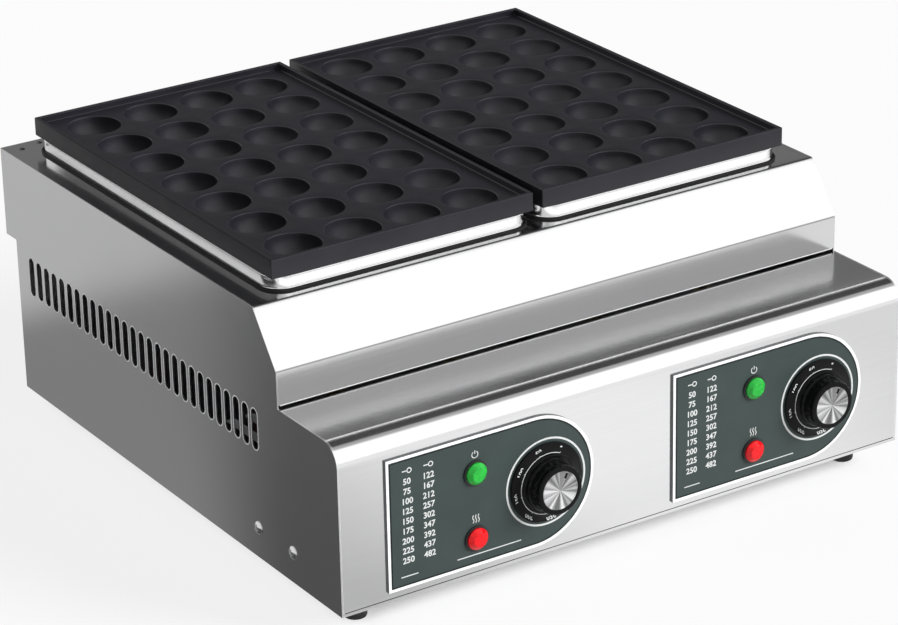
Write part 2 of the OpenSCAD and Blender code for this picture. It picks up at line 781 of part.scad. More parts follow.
module knob(i) {
    dial_r = dial_d / 2;
    grip_r = grip_d / 2;
    back = label_t + skirt_gap;
    under = back + 2;
    crown = under + 1.2;
    flutes = 20;
    color([0.06, 0.06, 0.065]) placed() on_console(dial_at(i), dial_z) difference() {
        rotate_extrude() difference() {
            polygon([
                [0, back + 2], [dial_r - 4, back + 2], [dial_r - 2.5, back], [dial_r, back],
                [dial_r, back + 1.4], [grip_r + 3.4, crown], [grip_r + 3, crown + 0.8],
                [grip_r + 1.6, crown + 1.2], [grip_r + 1.2, crown + 3.6], [grip_r, crown + 4.6],
                [grip_r, knob_reach - 1.2], [grip_r - 1, knob_reach], [cap_d / 2 + 0.2, knob_reach],
                [cap_d / 2 + 0.2, knob_reach - 1], [0, knob_reach - 1]
            ]);
            translate([-1, 0]) square([1 + shaft_d / 2 + 0.02, knob_reach - 6.8]);
        }
        for (k = [0 : flutes - 1]) rotate(360 * (k + 0.5) / flutes)
            translate([grip_r + 1.1, 0, crown + 5]) cylinder(r = 2, h = knob_reach, $fn = 24);
    }
}

module knob_cap(i) {
    // The notch is the pointer; the cap is drawn at the photographed turn
    pointer = -25;
    color([0.85, 0.85, 0.86]) placed() on_console(dial_at(i), dial_z)
        translate([0, 0, knob_reach - 1]) difference() {
            cylinder(d = cap_d, h = 0.8);
            rotate(pointer) translate([-0.9, cap_d / 2 - 5, -1]) cube([1.8, 6, 3]);
        }
}

module lamp_lens(i, z, shade) {
    color(shade) placed() on_console(lamp_at(i), z) translate([0, 0, label_t + bezel_t]) {
        cylinder(d = lens_d - 1, h = 1.2);
        translate([0, 0, 1.2 - eps]) rotate_extrude($fn = 96) polygon([
            [0, 0], [lens_d / 2 - 0.8, 0], [lens_d / 2 - 1.6, 1.2], [lens_d / 2 - 3.4, lens_proud - 1.2],
            [0, lens_proud - 1.2]
        ]);
    }
}

module lamp_holders() {
    color([0.1, 0.1, 0.1]) placed() for (i = [0, 1], z = [power_lamp_z, heat_lamp_z])
        on_console(lamp_at(i), z) {
            translate([0, 0, label_t]) cylinder(d = lens_d + 1.6, h = bezel_t);
            translate([0, 0, -barrel_l]) cylinder(d = barrel_d, h = barrel_l + label_t + eps);
            for (x = [-lamp_tab_x, lamp_tab_x])
                translate([x - tab_t / 2, -lamp_tab_w / 2, -barrel_l - lamp_tab_l])
                    cube([tab_t, lamp_tab_w, lamp_tab_l + eps]);
        }
}

module lamp_nuts() {
    color([0.15, 0.15, 0.15]) placed() for (i = [0, 1], z = [power_lamp_z, heat_lamp_z])
        on_console(lamp_at(i), z) translate([0, 0, -sheet - lamp_nut_t])
            hex_nut(barrel_d + 4, barrel_d + 2 * run_gap, lamp_nut_t);
}

// ---- Electrics ----

module terminal_block() {
    pole_pitch = block_w / block_poles;
    color([0.9, 0.89, 0.85]) placed() translate([block_x, block_y, sheet]) difference() {
        translate([-block_w / 2, -block_d / 2, 0]) cube([block_w, block_d, block_h]);
        for (k = [0 : block_poles - 1], y = [-well_y, well_y])
            translate([(k - (block_poles - 1) / 2) * pole_pitch, y, block_h - well_deep])
                cylinder(d = well_d, h = well_deep + 1);
    }
}

module cord_gland() {
    color([0.12, 0.12, 0.12]) placed() translate([gland_x, lower_back, gland_z]) rotate([-90, 0, 0])
        difference() {
            union() {
                cylinder(d = gland_hex / cos(30), h = gland_hex_t, $fn = 6);
                cylinder(d = gland_thread_d + 2, h = gland_out);
                translate([0, 0, -gland_in]) cylinder(d = gland_thread_d, h = gland_in + eps);
            }
            translate([0, 0, -gland_in - 1]) cylinder(d = gland_bore_d, h = gland_in + gland_out + 2);
        }
}

module gland_nut() {
    color([0.12, 0.12, 0.12]) placed() translate([gland_x, lower_back - sheet, gland_z]) rotate([90, 0, 0])
        hex_nut(gland_hex, gland_thread_d + 2 * run_gap, gland_hex_t);
}

// Leads run from the rod's pins and the lamps to the thermostat and the terminal block
module wiring(i) {
    side = i * 2 - 1;
    wire_r = 1.3;
    touch = 0.1;
    up = [0, 0, 1];
    back = [0, 1, 0];
    pin_a = [side * plate_x - rod_x, plate_y + leg_y, leg_end_z - pin_l - touch];
    pin_b = [side * plate_x + rod_x, plate_y + leg_y, leg_end_z - pin_l - touch];
    stat_back = sheet + stat_plate_t + stat_t + tab_l + touch;
    tab_a = [dial_at(i) - tab_x, stat_back, dial_z];
    tab_b = [dial_at(i) + tab_x, stat_back, dial_z];
    pole_z = sheet + block_h - well_deep + touch;
    pole_a = [block_x + (i * 2 - 1.5) * block_w / block_poles, block_y - well_y, pole_z];
    pole_b = [block_x + (i * 2 - 0.5) * block_w / block_poles, block_y - well_y, pole_z];
    lamp_end = barrel_l + lamp_tab_l + touch;
    color([0.75, 0.12, 0.1]) placed() {
        lead(pin_a, pin_a - 30 * up, tab_a + 40 * back, tab_a, wire_r, [1, 0, 0]);
        lead(pin_b, pin_b - 20 * up, pole_b + 130 * up, pole_b, wire_r, [1, 0, 0]);
        lead(tab_b, tab_b + 90 * back, pole_a + 130 * up, pole_a, wire_r, [1, 0, 0]);
        for (z = [power_lamp_z, heat_lamp_z]) {
            lamp = [lamp_at(i) - lamp_tab_x, lamp_end, z];
            near = tab_a + [-2 * wire_r - 0.5, 0, z > dial_z ? 2 : -2];
            lead(lamp, lamp + 16 * back, near + 22 * back, near, 0.9, up);
        }
    }
}

// ---- Feet and fasteners ----

module foot(x, y) {
    color([0.05, 0.05, 0.05]) placed() translate([x, y, -foot_h]) difference() {
        rotate_extrude() polygon([
            [0, 0], [foot_d / 2 - 2 * foot_taper, 0], [foot_d / 2 - foot_taper, foot_taper],
            [foot_d / 2, foot_h], [0, foot_h]
        ]);
        translate([0, 0, -1]) cylinder(d = foot_well_d, h = foot_h - foot_web + 1);
        drill(screw_d + 2 * hole_gap, foot_h);
    }
}

module foot_screws() {
    color([0.75, 0.75, 0.76]) placed() for (x = [-foot_x, foot_x], y = [foot_front_y, foot_back_y])
        translate([x, y, -foot_web]) rotate([180, 0, 0]) pan_screw(screw_d, foot_web + sheet + 4, m4_head);
}

module side_screws() {
    color([0.8, 0.8, 0.81]) placed() for (side = [-1, 1], y = side_screws_y)
        translate([side * casing_w / 2, y, side_screw_z]) rotate([0, side * 90, 0])
            pan_screw(screw_d, 8, side_head);
}

module rear_screws() {
    color([0.8, 0.8, 0.81]) placed() for (x = back_screws_x)
        translate([x, lower_back, back_screw_z]) rotate([-90, 0, 0]) pan_screw(screw_d, 8, m4_head);
}

module rivet_places(side) {
    for (p = [[plate_x + plate_w / 2 + 9, casing_d - 12], [plate_x + plate_w / 2 - 8, casing_d - 7]])
        translate([side * p[0], p[1], casing_h]) children();
}

module deck_rivets() {
    color([0.3, 0.3, 0.31]) placed() for (side = [-1, 1]) rivet_places(side) difference() {
        union() {
            intersection() {
                cylinder(d = rivet_d, h = 1);
                translate([0, 0, 0.8 - 4]) sphere(4);
            }
            translate([0, 0, -sheet - 1]) cylinder(d = rivet_shank_d, h = sheet + 1 + eps);
        }
        translate([0, 0, 0.1]) cylinder(d = rivet_bore_d, h = 2);
    }
}

side_panel(-casing_w / 2);  // side_panel_left
side_panel(casing_w / 2 - sheet);  // side_panel_right
top_deck();
console_cover();
rear_panel();
base_pan();
baking_plate(-1);  // baking_plate_left
baking_plate(1);  // baking_plate_right
heat_tray(-1);  // heat_tray_left
heat_tray(1);  // heat_tray_right
tray_straps(-1);  // tray_straps_left
tray_straps(1);  // tray_straps_right
plate_studs(-1);  // plate_studs_left
plate_studs(1);  // plate_studs_right
stud_nuts(-1);  // stud_nuts_left
stud_nuts(1);  // stud_nuts_right
heating_element(-1);  // heating_element_left
heating_element(1);  // heating_element_right
element_bushes(-1);  // element_bushes_left
element_bushes(1);  // element_bushes_right
element_clamps(-1);  // element_clamps_left
element_clamps(1);  // element_clamps_right
clamp_screws(-1);  // clamp_screws_left
clamp_screws(1);  // clamp_screws_right
feeler(-1);  // feeler_left
feeler(1);  // feeler_right
feeler_clip(-1);  // feeler_clip_left
feeler_clip(1);  // feeler_clip_right
feeler_clip_screws();
thermostat(0);  // thermostat_left
thermostat(1);  // thermostat_right
thermostat_screws();
thermostat_shaft(0);  // thermostat_shaft_left
thermostat_shaft(1);  // thermostat_shaft_right
knob(0);  // knob_left
knob(1);  // knob_right
knob_cap(0);  // knob_cap_left
knob_cap(1);  // knob_cap_right
control_label(0);  // control_label_left
control_label(1);  // control_label_right
lamp_lens(0, power_lamp_z, [0.1, 0.7, 0.25]);  // power_lamp_left
lamp_lens(1, power_lamp_z, [0.1, 0.7, 0.25]);  // power_lamp_right
lamp_lens(0, heat_lamp_z, [0.85, 0.08, 0.08]);  // heat_lamp_left
lamp_lens(1, heat_lamp_z, [0.85, 0.08, 0.08]);  // heat_lamp_right
lamp_holders();
lamp_nuts();
terminal_block();
cord_gland();
gland_nut();
wiring(0);  // wiring_left
wiring(1);  // wiring_right
foot(-foot_x, foot_front_y);  // foot_front_left
foot(foot_x, foot_front_y);  // foot_front_right
foot(-foot_x, foot_back_y);  // foot_rear_left
foot(foot_x, foot_back_y);  // foot_rear_right
foot_screws();
side_screws();
rear_screws();
deck_rivets();
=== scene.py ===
"""Looks of a twin-plate countertop takoyaki maker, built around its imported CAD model.

Lengths are metres in the model's own frame: X to the right, Y to the back, Z up from the surface it stands on.
"""

import json
import math

import bmesh
import bpy
from bpy.props import FloatProperty, FloatVectorProperty, IntProperty, PointerProperty
from mathutils import Matrix, Vector


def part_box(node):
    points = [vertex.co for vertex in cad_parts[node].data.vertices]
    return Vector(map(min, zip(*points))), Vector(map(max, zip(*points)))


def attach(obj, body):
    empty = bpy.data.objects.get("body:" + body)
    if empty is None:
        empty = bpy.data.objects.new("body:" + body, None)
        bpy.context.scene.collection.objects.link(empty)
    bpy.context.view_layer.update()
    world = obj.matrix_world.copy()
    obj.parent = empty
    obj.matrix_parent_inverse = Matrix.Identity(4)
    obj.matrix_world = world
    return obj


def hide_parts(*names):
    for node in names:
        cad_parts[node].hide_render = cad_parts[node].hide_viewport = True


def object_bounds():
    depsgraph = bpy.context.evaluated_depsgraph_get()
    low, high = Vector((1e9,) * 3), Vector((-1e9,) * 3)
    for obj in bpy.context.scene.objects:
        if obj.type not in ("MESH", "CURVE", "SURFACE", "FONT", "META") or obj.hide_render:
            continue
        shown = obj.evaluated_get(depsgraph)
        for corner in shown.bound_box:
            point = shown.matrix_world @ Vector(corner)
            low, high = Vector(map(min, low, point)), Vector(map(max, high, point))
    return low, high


bl_info = {
    "name": "Takoyaki maker",
    "version": (1, 0, 0),
    "blender": (4, 5, 0),
    "location": "3D view > Sidebar > Takoyaki maker",
    "description": "Builds the pieces and finishes of a twin-plate takoyaki maker around its CAD model",
    "category": "Object",
}

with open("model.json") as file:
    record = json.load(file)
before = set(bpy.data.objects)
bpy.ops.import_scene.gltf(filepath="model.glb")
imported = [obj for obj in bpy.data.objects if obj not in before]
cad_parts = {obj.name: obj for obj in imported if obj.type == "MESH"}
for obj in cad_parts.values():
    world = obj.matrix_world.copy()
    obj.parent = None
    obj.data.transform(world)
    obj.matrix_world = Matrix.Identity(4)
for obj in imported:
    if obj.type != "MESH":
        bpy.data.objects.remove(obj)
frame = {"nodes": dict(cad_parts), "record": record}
cad_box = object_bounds()

SIDES = ("left", "right")
NODE_BODY = {
    node: body for body, nodes in frame["record"]["behaviour"]["bodies"].items() for node in nodes
}
PLATE_LOW, PLATE_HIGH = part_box("baking_plate_left")
FRONT_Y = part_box("console_cover")[0].y


MERGE = 1e-6  # Points nearer than this become one
PRINT_DEPTH = 0.00008
WHITE = (1, 1, 1, 1)


def extent(node):
    """A node's lowest corner, highest corner and middle."""
    low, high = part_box(node)
    return low, high, (low + high) / 2


# ---- Settings ----


class CasingSettings(bpy.types.PropertyGroup):
    edge: FloatProperty(
        name="Edge radius", description="Rounding of the sheets' cut edges", default=0.0004, unit="LENGTH"
    )
    side_edge: FloatProperty(
        name="Side edge radius", description="Rounding of the side panels' edges and slots", default=0.00045,
        unit="LENGTH",
    )
    steel: FloatVectorProperty(
        name="Steel", description="Colour of the stainless sheet", default=(0.82, 0.82, 0.825), subtype="COLOR", size=3
    )
    steel_roughness: FloatProperty(
        name="Roughness", description="Roughness of the stainless sheet", default=0.15, min=0, max=1
    )


class PlateSettings(bpy.types.PropertyGroup):
    cup_diameter: FloatProperty(
        name="Cup diameter", description="Width of a cup at its mouth", default=0.040, unit="LENGTH"
    )
    cup_pitch: FloatProperty(
        name="Cup pitch", description="Distance between the centres of two cups", default=0.048, unit="LENGTH"
    )
    lip: FloatProperty(
        name="Lip radius", description="Rounding of a cup's mouth", default=0.0012, unit="LENGTH"
    )
    edge: FloatProperty(
        name="Edge radius", description="Rounding of the casting's rim", default=0.0007, unit="LENGTH"
    )
    columns: IntProperty(name="Columns", description="Cups across a plate", default=4)
    rows: IntProperty(name="Rows", description="Cups from front to back", default=7)
    coating: FloatVectorProperty(
        name="Coating", description="Colour of the non-stick coating", default=(0.0125, 0.0125, 0.017),
        subtype="COLOR", size=3,
    )


class ControlSettings(bpy.types.PropertyGroup):
    knob: FloatVectorProperty(
        name="Knob", description="Colour of the knobs", default=(0.003, 0.003, 0.0035), subtype="COLOR", size=3
    )
    film: FloatVectorProperty(
        name="Label film", description="Colour of the printed field", default=(0.039, 0.056, 0.053),
        subtype="COLOR", size=3,
    )
    border: FloatVectorProperty(
        name="Label border", description="Colour of the label's border", default=(0.86, 0.87, 0.87),
        subtype="COLOR", size=3,
    )
    line: FloatVectorProperty(
        name="Label line", description="Colour of the line between a label's border and its field",
        default=(0.006, 0.01, 0.01), subtype="COLOR", size=3,
    )
    ink: FloatVectorProperty(
        name="Print", description="Colour of the printed numbers and lines", default=(0.7, 0.72, 0.71),
        subtype="COLOR", size=3,
    )
    power: FloatVectorProperty(
        name="Power lamp", description="Colour of the power lamps", default=(0.018, 0.42, 0.045),
        subtype="COLOR", size=3,
    )
    heat: FloatVectorProperty(
        name="Heat lamp", description="Colour of the heat lamps", default=(0.8, 0.006, 0.01), subtype="COLOR", size=3
    )


class StageSettings(bpy.types.PropertyGroup):
    floor: FloatVectorProperty(
        name="Floor", description="Colour of the floor", default=(0.95, 0.95, 0.95), subtype="COLOR", size=3
    )
    glow: FloatProperty(
        name="Glow", description="How much of the floor's white doesn't depend on the light", default=0.8, min=0, max=1
    )
    room: FloatProperty(name="Room", description="Brightness of the room on everything but metal", default=0.34, min=0)
    softbox: FloatProperty(
        name="Softbox", description="Brightness of the white softbox that metal mirrors", default=1.3, min=0
    )
    key: FloatProperty(name="Key", description="Strength of the key light on the object and floor", default=3.8, min=0)


# ---- Finishes ----


class Nodes:
    """Adds nodes to a shader tree; an input is a value, or a socket to link."""

    def __init__(self, tree):
        self.tree = tree

    def feed(self, socket, value):
        if isinstance(value, bpy.types.NodeSocket):
            self.tree.links.new(value, socket)
        else:
            socket.default_value = value

    def node(self, kind, inputs, **settings):
        made = self.tree.nodes.new(kind)
        for name, value in settings.items():
            setattr(made, name, value)
        for key, value in inputs.items():
            self.feed(made.inputs[key], value)
        return made

    def math(self, operation, *inputs):
        return self.node("ShaderNodeMath", dict(enumerate(inputs)), operation=operation).outputs[0]

    def add(self, a, b):
        return self.math("ADD", a, b)

    def times(self, a, b):
        return self.math("MULTIPLY", a, b)

    def axes(self, vector):
        """A vector's X, Y and Z."""
        return self.node("ShaderNodeSeparateXYZ", {0: vector}).outputs

    def span(self, value, start, end, low=0.0, high=1.0):
        """Maps value from start-end smoothly to low-high."""
        return self.node(
            "ShaderNodeMapRange",
            {"Value": value, "From Min": start, "From Max": end, "To Min": low, "To Max": high},
            interpolation_type="SMOOTHSTEP",
        ).outputs[0]

    def between(self, share, first, second):
        """A number between first and second."""
        return self.node("ShaderNodeMix", {0: share, 2: first, 3: second}).outputs[0]

    def glow(self, level):
        return self.node("ShaderNodeEmission", {"Color": WHITE, "Strength": level}).outputs[0]

    def mirrored(self, path):
        """1 for rays that glossy and clear surfaces send, and 0 for others."""
        return self.math("MAXIMUM", path["Is Glossy Ray"], path["Is Transmission Ray"])


class Finish(Nodes):
    """A material in the making: its Principled shader, and patterns on Object coordinates."""

    def __init__(self, name, colour, roughness, metallic=0.0, specular=0.5):
        self.material = bpy.data.materials.new(name)
        self.material.use_nodes = True
        self.material.diffuse_color = (*colour, 1)
        super().__init__(self.material.node_tree)
        self.shader = self.tree.nodes["Principled BSDF"]
        self.place = self.node("ShaderNodeTexCoord", {}).outputs["Object"]
        self.set("Base Color", (*colour, 1))
        self.set("Roughness", roughness)
        self.set("Metallic", metallic)
        self.set("Specular IOR Level", specular)

    def set(self, name, value):
        self.feed(self.shader.inputs[name], value)

    def stretched(self, scale, centre=(0, 0, 0)):
        """Object coordinates moved to a centre and scaled along each axis."""
        moved = self.node("ShaderNodeVectorMath", {0: self.place, 1: centre}, operation="SUBTRACT")
        return self.node("ShaderNodeVectorMath", {0: moved.outputs[0], 1: scale}, operation="MULTIPLY").outputs[0]

    def noise(self, scale, detail=3.0, vector=None, distortion=0.0):
        """Noise from 0 to 1, with scale features to a metre."""
        return self.node(
            "ShaderNodeTexNoise",
            {"Vector": vector or self.place, "Scale": scale, "Detail": detail, "Distortion": distortion},
        ).outputs["Fac"]

    def tint(self, share, first, second):
        """Colours the surface from first to second."""
        mixed = self.node("ShaderNodeMix", {0: share, 6: (*first, 1), 7: (*second, 1)}, data_type="RGBA")
        self.set("Base Color", mixed.outputs[2])

    def bump(self, height, depth):
        """Bump of height times depth metres."""
        bumped = self.node("ShaderNodeBump", {"Height": height, "Distance": depth, "Strength": 1.0})
        self.set("Normal", bumped.outputs[0])

    def surface(self, shader):
        """Shows shader in place of the Principled one."""
        self.feed(self.tree.nodes["Material Output"].inputs["Surface"], shader)


def shade(colour, factor):
    return tuple(min(1.0, c * factor) for c in colour)


def stainless(name, grain, colour, roughness):
    """Semi-polished sheet with fine brush lines; grain stretches them along the sheet."""
    f = Finish(name, colour, roughness, 1.0)
    lines = f.noise(1.0, 4.0, f.stretched(grain))
    fine = f.noise(1.0, 2.0, f.stretched(tuple(3.1 * g for g in grain)))
    cloud = f.noise(9.0, 3.0, distortion=0.4)
    smear = f.noise(38.0, 2.0)
    rough = f.add(f.span(lines, 0.25, 0.75, roughness - 0.02, roughness + 0.02), f.span(cloud, 0.35, 0.7, -0.01, 0.02))
    f.set("Roughness", f.add(rough, f.span(smear, 0.5, 0.8, 0.0, 0.02)))
    f.tint(f.span(lines, 0.2, 0.8), shade(colour, 0.98), shade(colour, 1.01))
    f.bump(f.add(lines, f.times(fine, 0.5)), 0.0000012)
    return f.material


def zinc(name, colour):
    """Zinc-coated sheet with faint spangles and a dull bloom."""
    f = Finish(name, colour, 0.42, 1.0)
    cells = f.node("ShaderNodeTexVoronoi", {"Vector": f.place, "Scale": 140.0}, feature="F1").outputs["Color"]
    share = f.node("ShaderNodeSeparateColor", {0: cells}).outputs[0]
    bloom = f.noise(30.0, 4.0)
    f.tint(share, shade(colour, 0.86), shade(colour, 1.05))
    f.set("Roughness", f.add(f.span(share, 0.0, 1.0, 0.34, 0.5), f.span(bloom, 0.4, 0.75, 0.0, 0.14)))
    f.bump(f.noise(900.0, 2.0), 0.000008)
    return f.material


def coated_casting(name, colour, low, high):
    """Black non-stick coating on a casting: fine orange peel, speckle, and dulling towards the cups' floors."""
    f = Finish(name, colour, 0.4)
    peel = f.noise(620.0, 3.0)
    grain = f.noise(2300.0, 2.0)
    cloud = f.noise(26.0, 3.0, distortion=0.6)
    deep = f.span(f.axes(f.place)[2], low, high, 1.0, 0.0)
    speck = f.span(grain, 0.66, 0.78)
    f.tint(f.add(f.times(speck, 0.5), f.span(cloud, 0.3, 0.8, 0.0, 0.35)), colour, shade(colour, 1.9))
    rough = f.add(f.span(cloud, 0.3, 0.75, 0.33, 0.43), f.times(deep, 0.05))
    f.set("Roughness", f.add(rough, f.span(peel, 0.3, 0.7, -0.02, 0.03)))
    f.bump(f.add(peel, f.times(grain, 0.35)), 0.000035)
    return f.material


def bright_metal(name, colour, roughness):
    """Plated or turned metal with fine marks and a little tarnish."""
    f = Finish(name, colour, roughness, 1.0)
    marks = f.noise(1900.0, 3.0)
    tarnish = f.noise(160.0, 4.0, distortion=0.5)
    f.tint(f.span(tarnish, 0.5, 0.8, 0.0, 0.6), colour, shade(colour, 0.72))
    rough = f.span(marks, 0.3, 0.7, roughness - 0.03, roughness + 0.04)
    f.set("Roughness", f.add(rough, f.span(tarnish, 0.5, 0.8, 0.0, 0.12)))
    f.bump(marks, 0.000006)
    return f.material


def cut_edge(name, colour, metallic=0.35):
    """Finely ground edge of a sheet, which scatters the light."""
    f = Finish(name, colour, 0.5, metallic)
    marks = f.noise(2200.0, 3.0)
    f.tint(f.span(marks, 0.3, 0.7), shade(colour, 0.92), colour)
    f.set("Roughness", f.span(marks, 0.3, 0.7, 0.44, 0.56))
    return f.material


def heated_sheath(name, colour):
    """Rod sheath browned and blued by heat."""
    f = Finish(name, colour, 0.4, 1.0)
    heat = f.noise(45.0, 4.0, distortion=0.8)
    f.tint(f.span(heat, 0.35, 0.7), colour, (0.2, 0.17, 0.2))
    f.set("Roughness", f.span(heat, 0.3, 0.8, 0.32, 0.55))
    f.bump(f.noise(1500.0, 2.0), 0.00001)
    return f.material


def spun_disc(name, colour, centres):
    """Aluminium disc with turning grooves round the nearer of the dial centres, and a painted reflection: radial
    streaks in its colour.
    """
    f = Finish(name, colour, 0.26, 1.0)
    x, _, z = f.axes(f.place)
    left, right = (f.math("SUBTRACT", x, c.x) for c in centres)
    nearer = f.math("GREATER_THAN", x, (centres[0].x + centres[1].x) / 2)
    up = f.math("SUBTRACT", z, centres[0].z)
    place = f.node("ShaderNodeCombineXYZ", {0: f.between(nearer, left, right), 1: up, 2: 0.0}).outputs[0]
    radius = f.node("ShaderNodeVectorMath", {0: place}, operation="LENGTH").outputs["Value"]
    rings = f.noise(1.0, 2.0, f.node("ShaderNodeCombineXYZ", {0: f.times(radius, 5200.0), 1: 0.0, 2: 0.0}).outputs[0])
    way = f.node("ShaderNodeVectorMath", {0: place}, operation="NORMALIZE").outputs[0]
    # Radial streaks in the colour: a painted reflection of the grooves' sheen, dark and light wedges from the centre
    painted_streak = f.span(f.noise(2.1, 1.5, way), 0.38, 0.6)
    f.set("Roughness", f.span(rings, 0.3, 0.7, 0.2, 0.33))
    f.tint(f.add(painted_streak, f.span(rings, 0.3, 0.7, -0.05, 0.05)), shade(colour, 0.22), colour)
    f.bump(rings, 0.00002)
    return f.material


def glossy_plastic(name, colour, roughness=0.13):
    """Moulded glossy plastic with soft handling marks."""
    f = Finish(name, colour, roughness, specular=0.12)
    marks = f.noise(420.0, 3.0, distortion=0.5)
    grain = f.noise(2600.0, 2.0)
    f.set("Roughness", f.add(f.span(marks, 0.45, 0.8, roughness, roughness + 0.06), f.times(grain, 0.02)))
    f.tint(f.span(marks, 0.4, 0.9, 0.0, 0.5), colour, shade(colour, 1.4))
    f.bump(marks, 0.000004)
    return f.material


def matt_plastic(name, colour, roughness=0.5):
    """Moulded matt plastic with a fine spark-eroded texture."""
    f = Finish(name, colour, roughness)
    grain = f.noise(1700.0, 3.0)
    cloud = f.noise(60.0, 2.0)
    f.set("Roughness", f.span(grain, 0.3, 0.7, roughness - 0.06, roughness + 0.08))
    f.tint(f.span(cloud, 0.3, 0.75), shade(colour, 0.9), shade(colour, 1.12))
    f.bump(grain, 0.00002)
    return f.material


def rubber(name, colour):
    """Black rubber with a powdery bloom."""
    f = Finish(name, colour, 0.68, specular=0.35)
    grain = f.noise(1300.0, 4.0)
    bloom = f.noise(110.0, 3.0, distortion=0.5)
    f.tint(f.span(bloom, 0.45, 0.8, 0.0, 0.7), colour, shade(colour, 3.0))
    f.set("Roughness", f.span(grain, 0.3, 0.7, 0.6, 0.76))
    f.bump(grain, 0.00004)
    return f.material


def lens(name, colour):
    """Clear coloured plastic over a bright reflector."""
    f = Finish(name, colour, 0.12, specular=0.3)
    depth = f.noise(330.0, 2.0, distortion=0.4)
    marks = f.noise(1500.0, 2.0)
    f.tint(f.span(depth, 0.35, 0.7), shade(colour, 0.86), shade(colour, 1.12))
    f.set("Roughness", f.span(marks, 0.4, 0.7, 0.07, 0.16))
    f.bump(depth, 0.00001)
    return f.material


def film(name, colour):
    """Printed polyester film with a fine satin texture."""
    f = Finish(name, colour, 0.42, specular=0.25)
    grain = f.noise(2400.0, 3.0)
    cloud = f.noise(35.0, 3.0)
    f.tint(f.span(cloud, 0.3, 0.75), shade(colour, 0.94), shade(colour, 1.08))
    f.set("Roughness", f.add(f.span(grain, 0.3, 0.7, 0.38, 0.48), f.span(cloud, 0.5, 0.8, 0.0, 0.05)))
    f.bump(grain, 0.00001)
    return f.material


def ink(name, colour):
    """Screen-printed ink, slightly uneven."""
    f = Finish(name, colour, 0.5)
    grain = f.noise(3000.0, 2.0)
    f.tint(f.span(grain, 0.3, 0.75), shade(colour, 0.88), shade(colour, 1.04))
    f.set("Roughness", f.span(grain, 0.3, 0.7, 0.45, 0.6))
    f.bump(grain, 0.000008)
    return f.material


made_finishes = {}


def finish(kind):
    """The material of that kind, made the first time it is asked for."""
    if kind in made_finishes:
        return made_finishes[kind]
    scene = bpy.context.scene
    casing, plate, control = scene.takoyaki_casing, scene.takoyaki_plate, scene.takoyaki_control
    recipes = {
        "steel along X": (stainless, (9, 1300, 1300), casing.steel[:], casing.steel_roughness),
        "steel along Y": (stainless, (1300, 9, 1300), casing.steel[:], casing.steel_roughness + 0.05),
        "zinc": (zinc, (0.38, 0.39, 0.41)),
        "coating": (coated_casting, plate.coating[:], PLATE_LOW.z + 0.012, PLATE_HIGH.z - 0.006),
        "bright screw": (bright_metal, (0.78, 0.78, 0.79), 0.16),
        "dull rivet": (bright_metal, (0.2, 0.2, 0.21), 0.4),
        "brass": (bright_metal, (0.78, 0.62, 0.3), 0.28),
        "copper": (bright_metal, (0.72, 0.38, 0.24), 0.3),
        "heated sheath": (heated_sheath, (0.32, 0.27, 0.23)),
        "spun aluminium": (spun_disc, (0.86, 0.86, 0.87), [extent(f"knob_cap_{s}")[2] for s in SIDES]),
        "knob black": (glossy_plastic, control.knob[:]),
        "label film": (film, control.film[:]),
        "label border": (film, control.border[:]),
        "label line": (film, control.line[:]),
        # Darker grey for the label plate's sides: painted shade
        "label side": (matt_plastic, (0.11, 0.115, 0.12)),
        "cut edge": (cut_edge, (0.93, 0.93, 0.94)),
        # Pale ground rim whose colour paints the highlight along the slot edges
        "slot rim": (cut_edge, (0.97, 0.97, 0.98), 0.2),
        "print": (ink, control.ink[:]),
        "power lens": (lens, control.power[:]),
        "heat lens": (lens, control.heat[:]),
        "black plastic": (matt_plastic, (0.018, 0.018, 0.019), 0.42),
        # Black for painted shade: the beads at the collars' feet and the strip under the console's front
        "seam": (matt_plastic, (0.004, 0.004, 0.004), 0.6),
        "ivory plastic": (matt_plastic, (0.74, 0.71, 0.6), 0.45),
        "wire sleeve": (matt_plastic, (0.42, 0.03, 0.03), 0.55),
        "rubber": (rubber, (0.012, 0.012, 0.012)),
    }
    make, *values = recipes[kind]
    made_finishes[kind] = make(kind, *values)
    return made_finishes[kind]


# ---- Making pieces ----


def dress(node, kind):
    """Gives a CAD node that is shown as it is its finish."""
    mesh = frame["nodes"][node].data
    mesh.materials.clear()
    mesh.materials.append(finish(kind))


def place(bm, matrix):
    bmesh.ops.transform(bm, matrix=matrix, verts=bm.verts)


def move(bm, way, verts=None):
    bmesh.ops.translate(bm, vec=way, verts=verts or bm.verts)


def turn(bm, angle, axis, verts=None):
    """Turns geometry about an axis through the origin."""
    bmesh.ops.rotate(bm, cent=(0, 0, 0), matrix=Matrix.Rotation(angle, 3, axis), verts=verts or bm.verts)


def weld(bm, distance=MERGE):
    bmesh.ops.remove_doubles(bm, verts=bm.verts, dist=distance)


def face_out(bm):
    bmesh.ops.recalc_face_normals(bm, faces=bm.faces)


def chamfer(bm, width, segments):
    """Bevels every edge of a small solid."""
    bmesh.ops.bevel(
        bm, geom=bm.edges[:], offset=width, offset_type="OFFSET", affect="EDGES", segments=segments, profile=0.5,
        material=-1,
    )


def points(geometry):
    """The vertices in what an operator made."""
    return [part for part in geometry if isinstance(part, bmesh.types.BMVert)]


def add_piece(name, bm, kinds, nodes, smooth=35, body=None):
    """Makes bm an object that rides on the body of the nodes it stands for."""
    mesh = bpy.data.meshes.new(name)
    bm.to_mesh(mesh)
    bm.free()
    for kind in kinds:
        mesh.materials.append(finish(kind))
    mesh.polygons.foreach_set("use_smooth", [True] * len(mesh.polygons))
    mesh.set_sharp_from_angle(angle=math.radians(smooth))
    piece = bpy.data.objects.new(name, mesh)
    bpy.context.scene.collection.objects.link(piece)
    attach(piece, body or NODE_BODY[nodes[0]])
    if nodes:
        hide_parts(*nodes)
    return piece


